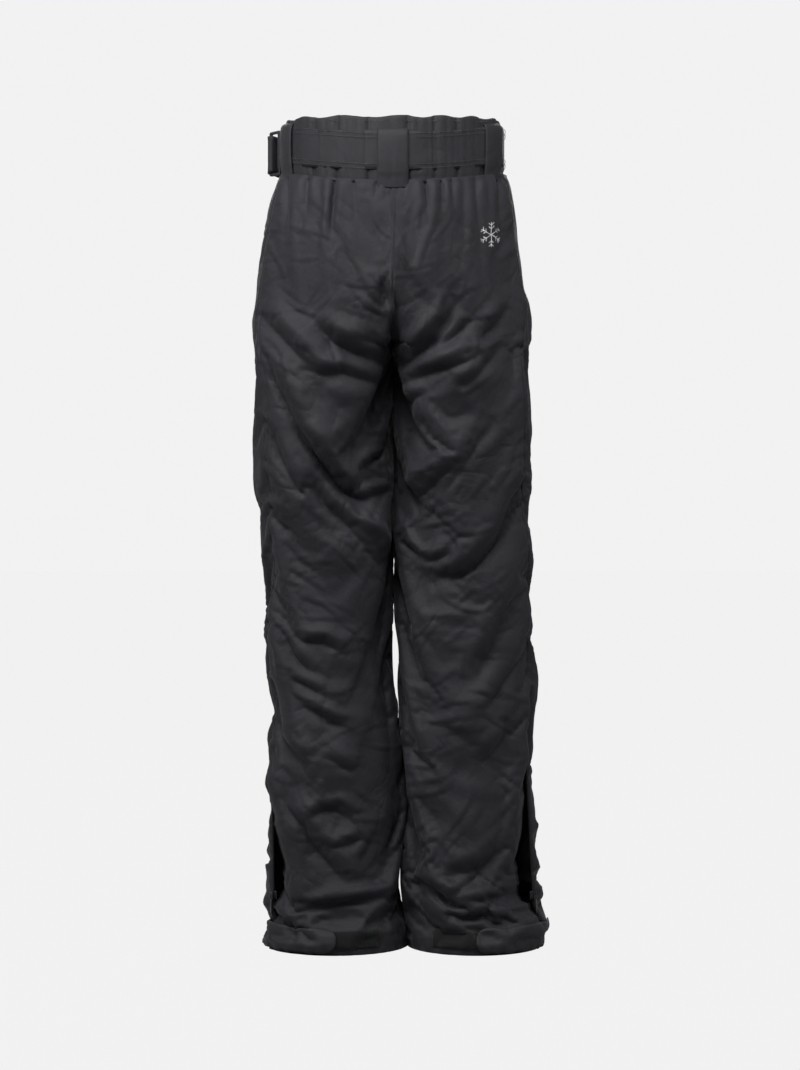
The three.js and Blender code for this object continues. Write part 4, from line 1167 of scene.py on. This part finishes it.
def ankle_zip_edge(side, tag, part):
    """One tape with its teeth, along the front or the back edge of the slit."""
    edge, sign = (front_edge, -1) if part == "front" else (back_edge, 1)
    z = np.linspace(0.031, SLIT_TOP_Z - 0.002, 90)
    u = edge(z)
    out = body_normal(u, z, side)
    across = unit(body(u + sign * 0.004, z, side) - body(u - sign * 0.004, z, side))
    cloth_edge = cloth_at(u, z, side)
    under = np.linspace(-0.012, -0.001, 6)
    beyond = np.array([0.0004, 0.0012, 0.0020])
    hidden = cloth_at(u[:, None] + sign * under / HEM_ROUND, z[:, None] + 0 * under, side, lift=-0.0018)
    shown = cloth_edge[:, None] + across[:, None] * beyond[:, None] - out[:, None] * (BEAD_DEPTH + 0.0003)
    points = np.concatenate([hidden, shown], 1)
    reach = np.broadcast_to(np.concatenate([under, beyond]), points.shape[:2])
    piece = sewn(f"tape_ankle_{part}_{tag}", f"ankle_zip_{part}_tape_{tag}", points, reach,
                 np.repeat(z[:, None], reach.shape[1], 1), 0.0006, tape_look,
                 outside=side * -sign)
    at = np.linspace(0, len(z) - 1, int(ANKLE_TEETH_LENGTH / TOOTH_PITCH))
    edge, across, along, out = [looked_up(at, np.arange(len(z)), table) for table in (
        cloth_edge, across, unit(np.gradient(cloth_edge, axis=0)), out)]
    blocks(f"teeth_ankle_{part}_{tag}", edge + across * BEAD_REACH - out * BEAD_DEPTH, across, along, out,
           TOOTH, teeth_look)


for side, tag in ((LEFT, "left"), (RIGHT, "right")):
    for part in ("front", "back"):
        ankle_zip_edge(side, tag, part)

# ------------------------------------------------------------------ pocket zips
# A closed zip on a sloping line below each front pocket's mouth, set between two folded lips
# of shell cloth, with a flat bag of lining behind it.
for side, tag in ((LEFT, "left"), (RIGHT, "right")):
    low_z, high_z = POCKET_LOW[1] + 0.002, POCKET_HIGH[1] - 0.002
    z = np.linspace(low_z, high_z, 60)
    line, way = slider_line(f"pocket_zip_slider_{tag}", f"pocket_slider_slide_{tag}", z)
    out = body_normal(pocket_u(z), z, side)
    out = unit(out - way * np.sum(out * way, -1, keepdims=True))
    across = np.cross(way, out)
    reach = np.linspace(-0.0085, 0.0085, 9)
    points = line[:, None] + across[:, None] * reach[:, None] - out[:, None] * 0.0002
    length = float(np.linalg.norm(line[-1] - line[0]))
    tape = sewn(f"tape_pocket_{tag}", f"pocket_zip_tape_{tag}", points,
                np.broadcast_to(reach, points.shape[:2]), np.repeat(z[:, None], 9, 1), 0.0006, tape_look,
                outside=-1)
    count = int((length - 0.018) / TOOTH_PITCH)
    share = np.linspace(0.009, length - 0.009, count)[:, None]
    ends = np.repeat(across[:1], count, 0), np.repeat(way[None], count, 0), np.repeat(out[:1], count, 0)
    middles = line[0] + (line[-1] - line[0]) * share / length
    for sign, shift in ((-1, 0), (1, 0.5)):
        blocks(f"teeth_pocket_{tag}_{'a' if sign < 0 else 'b'}", middles + way * TOOTH_PITCH * shift
               + ends[0] * sign * 0.0011, ends[0] * sign, ends[1], ends[2], CLOSED_TOOTH,
               teeth_look, taper=1.0)
    lip_reach = np.array([0.0056, 0.0052, 0.0055, 0.0064, 0.0085, 0.0115, 0.0140, 0.0158])
    lip_lift = np.array([0.0001, 0.0009, 0.0016, 0.0019, 0.0014, 0.0004, -0.0012, -0.0024])
    for sign, edge_name in ((-1, "a"), (1, "b")):
        points = (line[:, None] + across[:, None] * (sign * lip_reach[:, None])
                  + out[:, None] * lip_lift[:, None])
        lip = grid_sheet(f"lip_pocket_{tag}_{edge_name}", points,
                         np.broadcast_to(lip_reach, points.shape[:2]),
                         np.repeat(z[:, None], len(lip_reach), 1), 0.0008, shell_look, outside=-sign)
        fitted(lip, "garment")
    bag_z = np.linspace(0.735, 0.905, 30)
    bag_u = np.linspace(0.57, 0.73, 20)
    uu, zz = np.meshgrid(bag_u, bag_z)
    hang = -0.0085 - 0.0006 * np.sin(zz * 90) * np.sin(uu * 60)
    bag = sewn(f"bag_pocket_{tag}", f"pocket_bag_{tag}", cloth_at(uu, zz, side, lift=hang),
               (uu - 0.5) * HEM_ROUND, zz, 0.0016, lining_look, outside=side)

# ------------------------------------------------------------------ fly
# A closed zip down the centre front, its tapes sewn under the front panels' edges, with a
# guard of lining cloth behind it.
FLY_LOW, FLY_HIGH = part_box("fly_zip_tape_left")[0][2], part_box("fly_zip_tape_left")[1][2]
FLY_Y = sum(corner[1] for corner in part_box("fly_zip_tape_left")) / 2
z = np.linspace(FLY_LOW, FLY_HIGH, 40)
for sign, tag in ((1, "left"), (-1, "right")):
    reach = np.linspace(0.0008, 0.0155, 8)
    x = SEAM_X + sign * reach
    points = np.stack([np.broadcast_to(x, (40, 8)), np.full((40, 8), FLY_Y - 0.0003),
                       np.repeat(z[:, None], 8, 1)], -1)
    tape = sewn(f"tape_fly_{tag}", f"fly_zip_tape_{tag}", points, np.broadcast_to(reach, (40, 8)),
                np.repeat(z[:, None], 8, 1), 0.0006, tape_look, outside=sign)
    count = int((FLY_HIGH - FLY_LOW - 0.004) / TOOTH_PITCH)
    tooth_z = np.linspace(FLY_LOW + 0.002, FLY_HIGH - 0.003, count)
    tooth_z += 0.5 * TOOTH_PITCH if sign > 0 else 0
    middles = np.stack([np.full(count, SEAM_X + sign * 0.0011), np.full(count, FLY_Y), tooth_z], -1)
    blocks(f"teeth_fly_{tag}", middles, np.tile([-sign * 1.0, 0, 0], (count, 1)),
           np.tile([0, 0, 1.0], (count, 1)),
           np.tile([0, -1.0, 0], (count, 1)), CLOSED_TOOTH, teeth_look, taper=1.0)
low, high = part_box("fly_guard")
reach = np.linspace(low[0], high[0], 14)
z = np.linspace(low[2], high[2], 40)
waved = low[1] + 0.0008 * np.sin(z * 120)[:, None]
points = np.stack([np.broadcast_to(reach, (40, 14)), np.broadcast_to(waved, (40, 14)),
                   np.repeat(z[:, None], 14, 1)], -1)
guard = sewn("guard_fly", "fly_guard", points, np.broadcast_to(reach, (40, 14)), np.repeat(z[:, None], 14, 1),
             0.0010, lining_look)

# ------------------------------------------------------------------ hems
# A tab of doubled shell cloth, sewn at the side, draws each hem in: hooks under its rounded
# end grip a strip of loops on the back of the hem.
def hem_strip(name, node, side, start, end, low, high, skin, thick, look, body_name, round_end=0.0):
    """Cloth laid round the hem between two angles behind the wearer's side."""
    angles = np.linspace(start, end, 60)
    u = 0.5 - angles / 360
    plan = body(u, np.full_like(u, (low + high) / 2), side)
    s = run_lengths(plan)
    half = np.full_like(s, (high - low) / 2)
    if round_end:
        past = np.clip((s - (s[-1] - round_end)) / round_end, 0, 0.985)
        half *= np.sqrt(1 - past**2)
    share = np.linspace(-1, 1, 11)[:, None]
    z = (low + high) / 2 + share * half
    uu = np.broadcast_to(u, z.shape)
    points = cloth_at(uu, z, side, lift=np.broadcast_to(skin(angles), z.shape) + thick)
    piece = grid_sheet(name, points, np.broadcast_to(s, z.shape), z, thick, look, outside=-side)
    if body_name == "garment":
        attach(piece, "garment")
    else:
        sewn_turn, free_turn = np.array(0.5 - 2 / 360), np.array(0.5 - 12 / 360)
        middle = np.array((low + high) / 2)
        begin = Vector(body(sewn_turn, middle, side))
        finish = Vector(body(free_turn, middle, side))
        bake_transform(piece)
    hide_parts(node)


def tab_skin(angle):
    """How far the tab lies off the hem: more past its sewn end, where it covers the hooks."""
    return 0.0009 + 0.0022 * smooth(angle / 55)


for side, tag in ((LEFT, "left"), (RIGHT, "right")):
    hem_strip(f"loops_hem_{tag}", f"hem_loop_strip_{tag}", side, 60, 128, 0.008, 0.030,
              lambda a: 0 * a + 0.0003, 0.0011, nap_look, "garment")
    hem_strip(f"hooks_hem_{tag}", f"hem_hook_pad_{tag}", side, 66, 88, 0.008, 0.030,
              lambda a: 0 * a + 0.0018, 0.0009, nap_look, f"hem_tab_{tag}")
    hem_strip(f"tab_hem_{tag}", f"hem_tab_{tag}", side, -4, 91, 0.0035, 0.0345, tab_skin, 0.0015,
              belt_look, f"hem_tab_{tag}", round_end=0.013)

# ------------------------------------------------------------------ gaiters
# Inside each ankle a sleeve of lining cloth hangs from the lining, gathered at its lower end
# on gripper elastic, with a metal hook that catches the boot's laces.
GAITER_LOW, GAITER_TOP = 0.066, 0.205
elastic_look = cloth_material("ribbed_elastic", (.016, .016, .018), 0.0016, 0.7, sheen=0.1, bump=0.9)


GAITER_SKIN = 0.0053
GAITER_COLUMNS = 161
GAITER_PLEATS = 22


def gaiter_at(u, z, side, depth):
    """A place on the sleeve, `depth` inside the lining and drawn in towards the ankle."""
    skin = GAITER_SKIN + depth
    sewn_in = body(u, z, side) - body_normal(u, z, side) * skin[..., None]
    middle_x = SEAM_X + side * (inner_x[side](z) + outer_x[side](z)) / 2
    heart = np.stack([middle_x, SEAM_Y + leg_centre_y(z), z], -1)
    drawn_in = 0.2 * smooth((GAITER_TOP - z) / (GAITER_TOP - GAITER_LOW))
    return sewn_in + (heart - sewn_in) * drawn_in[..., None]


def sleeve(name, node, side, low, high, rows, depth, gather, thick, look):
    """A closed sleeve round the ankle, pleated towards its gathered lower end."""
    uu, zz = np.meshgrid(np.linspace(0, 1, GAITER_COLUMNS)[:-1], np.linspace(low, high, rows))
    near_hem = smooth((GAITER_LOW + 0.09 - zz) / 0.09)
    phase = uu * 2 * np.pi * GAITER_PLEATS + 2 * np.sin(uu * 2 * np.pi * 3)
    points = gaiter_at(uu, zz, side, depth + gather * (0.3 + near_hem) * np.sin(phase))
    points = np.concatenate([points, points[:, :1]], 1)
    across = np.broadcast_to(np.linspace(0, HEM_ROUND * 0.8, GAITER_COLUMNS), points.shape[:2])
    piece = sewn(name, node, points, across, np.repeat(zz[:, :1], GAITER_COLUMNS, 1), thick, look,
                 outside=side)


for side, tag in ((LEFT, "left"), (RIGHT, "right")):
    sleeve(f"sleeve_{tag}", f"gaiter_{tag}", side, GAITER_LOW, GAITER_TOP, 40, 0.014, 0.0022, 0.0008,
           lining_look)
    sleeve(f"sleeve_elastic_{tag}", f"gaiter_elastic_{tag}", side, GAITER_LOW + 0.001,
           GAITER_LOW + 0.014, 8, 0.0155, 0.0004, 0.0014, elastic_look)
band("elastic_waist", "waist_elastic", SIDE_TURN, 180 - SIDE_TURN, 0.0012, low=0.945, high=1.018,
     face=-0.0026, look=elastic_look)

# ------------------------------------------------------------------ stitching
# Lock stitches in black thread: doubled beside the centre back seam, single along the side seams, the slits,
# the hems, the fly and the waistband, and doubled along both edges of the belt.
thread_look = cloth_material("black_thread", (.028, .028, .033), 0.0004, 0.5, sheen=0.2, bump=0.5,
                             own_uv=False)
white_look = cloth_material("white_thread", (.78, .78, .79), 0.0004, 0.5, sheen=0.2, bump=0.5,
                            own_uv=False, tone=0.04)
STITCH, STITCH_GAP = 0.0031, 0.0008


SPINDLE_FACES = [[0, 2, 1], [0, 3, 2], [0, 4, 3], [0, 1, 4], [1, 2, 6, 5], [2, 3, 7, 6], [3, 4, 8, 7],
                 [4, 1, 5, 8], [9, 5, 6], [9, 6, 7], [9, 7, 8], [9, 8, 5]]
SPINDLE_POINTS = 10


def stitches(name, runs, look=thread_look, radius=0.00036, length=STITCH, gap=STITCH_GAP, node=None):
    """Short spindles of thread along each run; a run is (points, outward directions)."""
    all_points, all_faces, count = [], [], 0
    for points, outs in runs:
        s = run_lengths(points)
        number = max(1, int(s[-1] / (length + gap)))
        starts = np.linspace(0, s[-1] - length, number)
        a, b = looked_up(starts, s, points), looked_up(starts + length, s, points)
        out = looked_up(starts + length / 2, s, outs)
        along = unit(b - a)
        out = unit(out - along * np.sum(out * along, 1, keepdims=True))
        wide = np.cross(along, out)
        rings = []
        for share in (0.22, 0.78):
            middle = a + (b - a) * share + out * radius * 0.5
            for turn in range(4):
                angle = math.pi / 2 * turn
                rings.append(middle + wide * radius * math.cos(angle) + out * radius * math.sin(angle))
        shape = np.stack([a - out * radius * 0.6, *rings, b - out * radius * 0.6], 1)
        all_points.append(shape.reshape(-1, 3))
        for k in range(number):
            all_faces += [[i + count + SPINDLE_POINTS * k for i in face] for face in SPINDLE_FACES]
        count += SPINDLE_POINTS * number
    obj = new_mesh(name, np.concatenate(all_points), all_faces)
    for polygon in obj.data.polygons:
        polygon.use_smooth = True
    obj.data.materials.append(look)
    fitted(obj, "garment", node)


def on_cloth(u, z, side, lift=0.0002):
    """Places on the shell and the directions out of it."""
    return cloth_at(u, z, side, lift=lift), body_normal(u, z, side)


def on_band(turns, offset, z):
    """Places round the waist and the directions out of it."""
    plan = waist_plan(turns, offset)
    step = unit(waist_plan(turns + 0.5, offset) - waist_plan(turns - 0.5, offset))
    return lifted(plan, z), np.stack([step[:, 1], -step[:, 0], 0 * turns], -1)


seam_z = np.linspace(0.770, TOP_Z - 0.004, 90)
stitches("stitch_centre_back", [on_cloth(SEAM_SHARE + gap / HEM_ROUND + 0 * seam_z, seam_z, RIGHT)
                                for gap in (0.0022, 0.0085)])
for side, tag in ((LEFT, "left"), (RIGHT, "right")):
    z = np.linspace(SLIT_TOP_Z + 0.004, TOP_Z - 0.004, 400)
    stitches(f"stitch_side_{tag}", [on_cloth(back_edge(z) - 0.0026 / HEM_ROUND, z, side)])
    z = np.linspace(0.036, SLIT_TOP_Z, 90)
    stitches(f"stitch_slit_{tag}", [on_cloth(back_edge(z) - 0.0070 / HEM_ROUND, z, side),
                                    on_cloth(front_edge(z) + 0.0070 / HEM_ROUND, z, side)])
    runs = []
    hem = np.array(0.031)
    for start, end in ((0.004, back_edge(hem) - 0.008), (front_edge(hem) + 0.008, 0.996)):
        u = np.linspace(start, float(end), 120)
        runs.append(on_cloth(u, np.full_like(u, 0.0315), side))
    stitches(f"stitch_hem_{tag}", runs)
    z = np.linspace(0.830, TOP_Z - 0.003, 70)
    stitches(f"stitch_fly_{tag}", [on_cloth(fly_edge(z) - 0.006 / HEM_ROUND, z, side)])
turns = np.linspace(12, 324, 600)
belt_face = BELT_OFFSET + 0.0010
belt_runs = []
for z in (BELT_LOW + 0.0022, BELT_LOW + 0.0075, BELT_HIGH - 0.0022, BELT_HIGH - 0.0075):
    belt_runs.append(on_band(turns, np.full_like(turns, belt_face + 0.0007), z))
stitches("stitch_belt", belt_runs)
band_turns = np.linspace(-100, 256, 700)
stitches("stitch_waistband", [on_band(band_turns, np.full_like(band_turns, 0.0012), BAND_LOW + 0.0016),
                              on_band(band_turns, np.full_like(band_turns, 0.0016),
                                      BAND_HIGH - 0.0045 - rim_drop(band_turns))])

# ------------------------------------------------------------------ embroidered mark
# A plain snowflake in white thread on the right of the seat: six arms with two pairs of
# branches, all of short satin stitches laid across.
MARK_ACROSS, MARK_HEIGHT, MARK_ARM = -0.1215, 0.876, 0.0135
SATIN_PITCH, SATIN_HALF = 0.00062, 0.00085


def on_seat(dx, dz):
    """A place on the right of the seat, by its distance across and up from the mark's middle."""
    z = MARK_HEIGHT + dz
    reach = (abs(MARK_ACROSS + dx) - inner_x[RIGHT](z)) / (outer_x[RIGHT](z) - inner_x[RIGHT](z))
    u = (1 - np.arccos(np.clip(2 * reach - 1, -1, 1)) / np.pi) / 2
    return on_cloth(u, z, RIGHT, lift=0.0009)


mark_runs = []
for arm in range(6):
    heading = math.pi / 6 + arm * math.pi / 3
    spokes = [(MARK_ARM, heading, 0.0, 0.0)]
    for out in (0.5, 0.78):
        for turn in (-0.9, 0.9):
            spokes.append((MARK_ARM * 0.30, heading + turn, MARK_ARM * out * math.cos(heading),
                           MARK_ARM * out * math.sin(heading)))
    for end, way, x, z in spokes:
        for t in np.arange(0.0004, end, SATIN_PITCH):
            px, pz = x + t * math.cos(way), z + t * math.sin(way)
            wx, wz = -math.sin(way) * SATIN_HALF, math.cos(way) * SATIN_HALF
            mark_runs.append(on_seat(np.array([px - wx, px + wx]), np.array([pz - wz, pz + wz])))
stitches("embroidered_mark", mark_runs, look=white_look, radius=0.00034, length=0.0016, gap=0.0002,
         node="seat_motif")
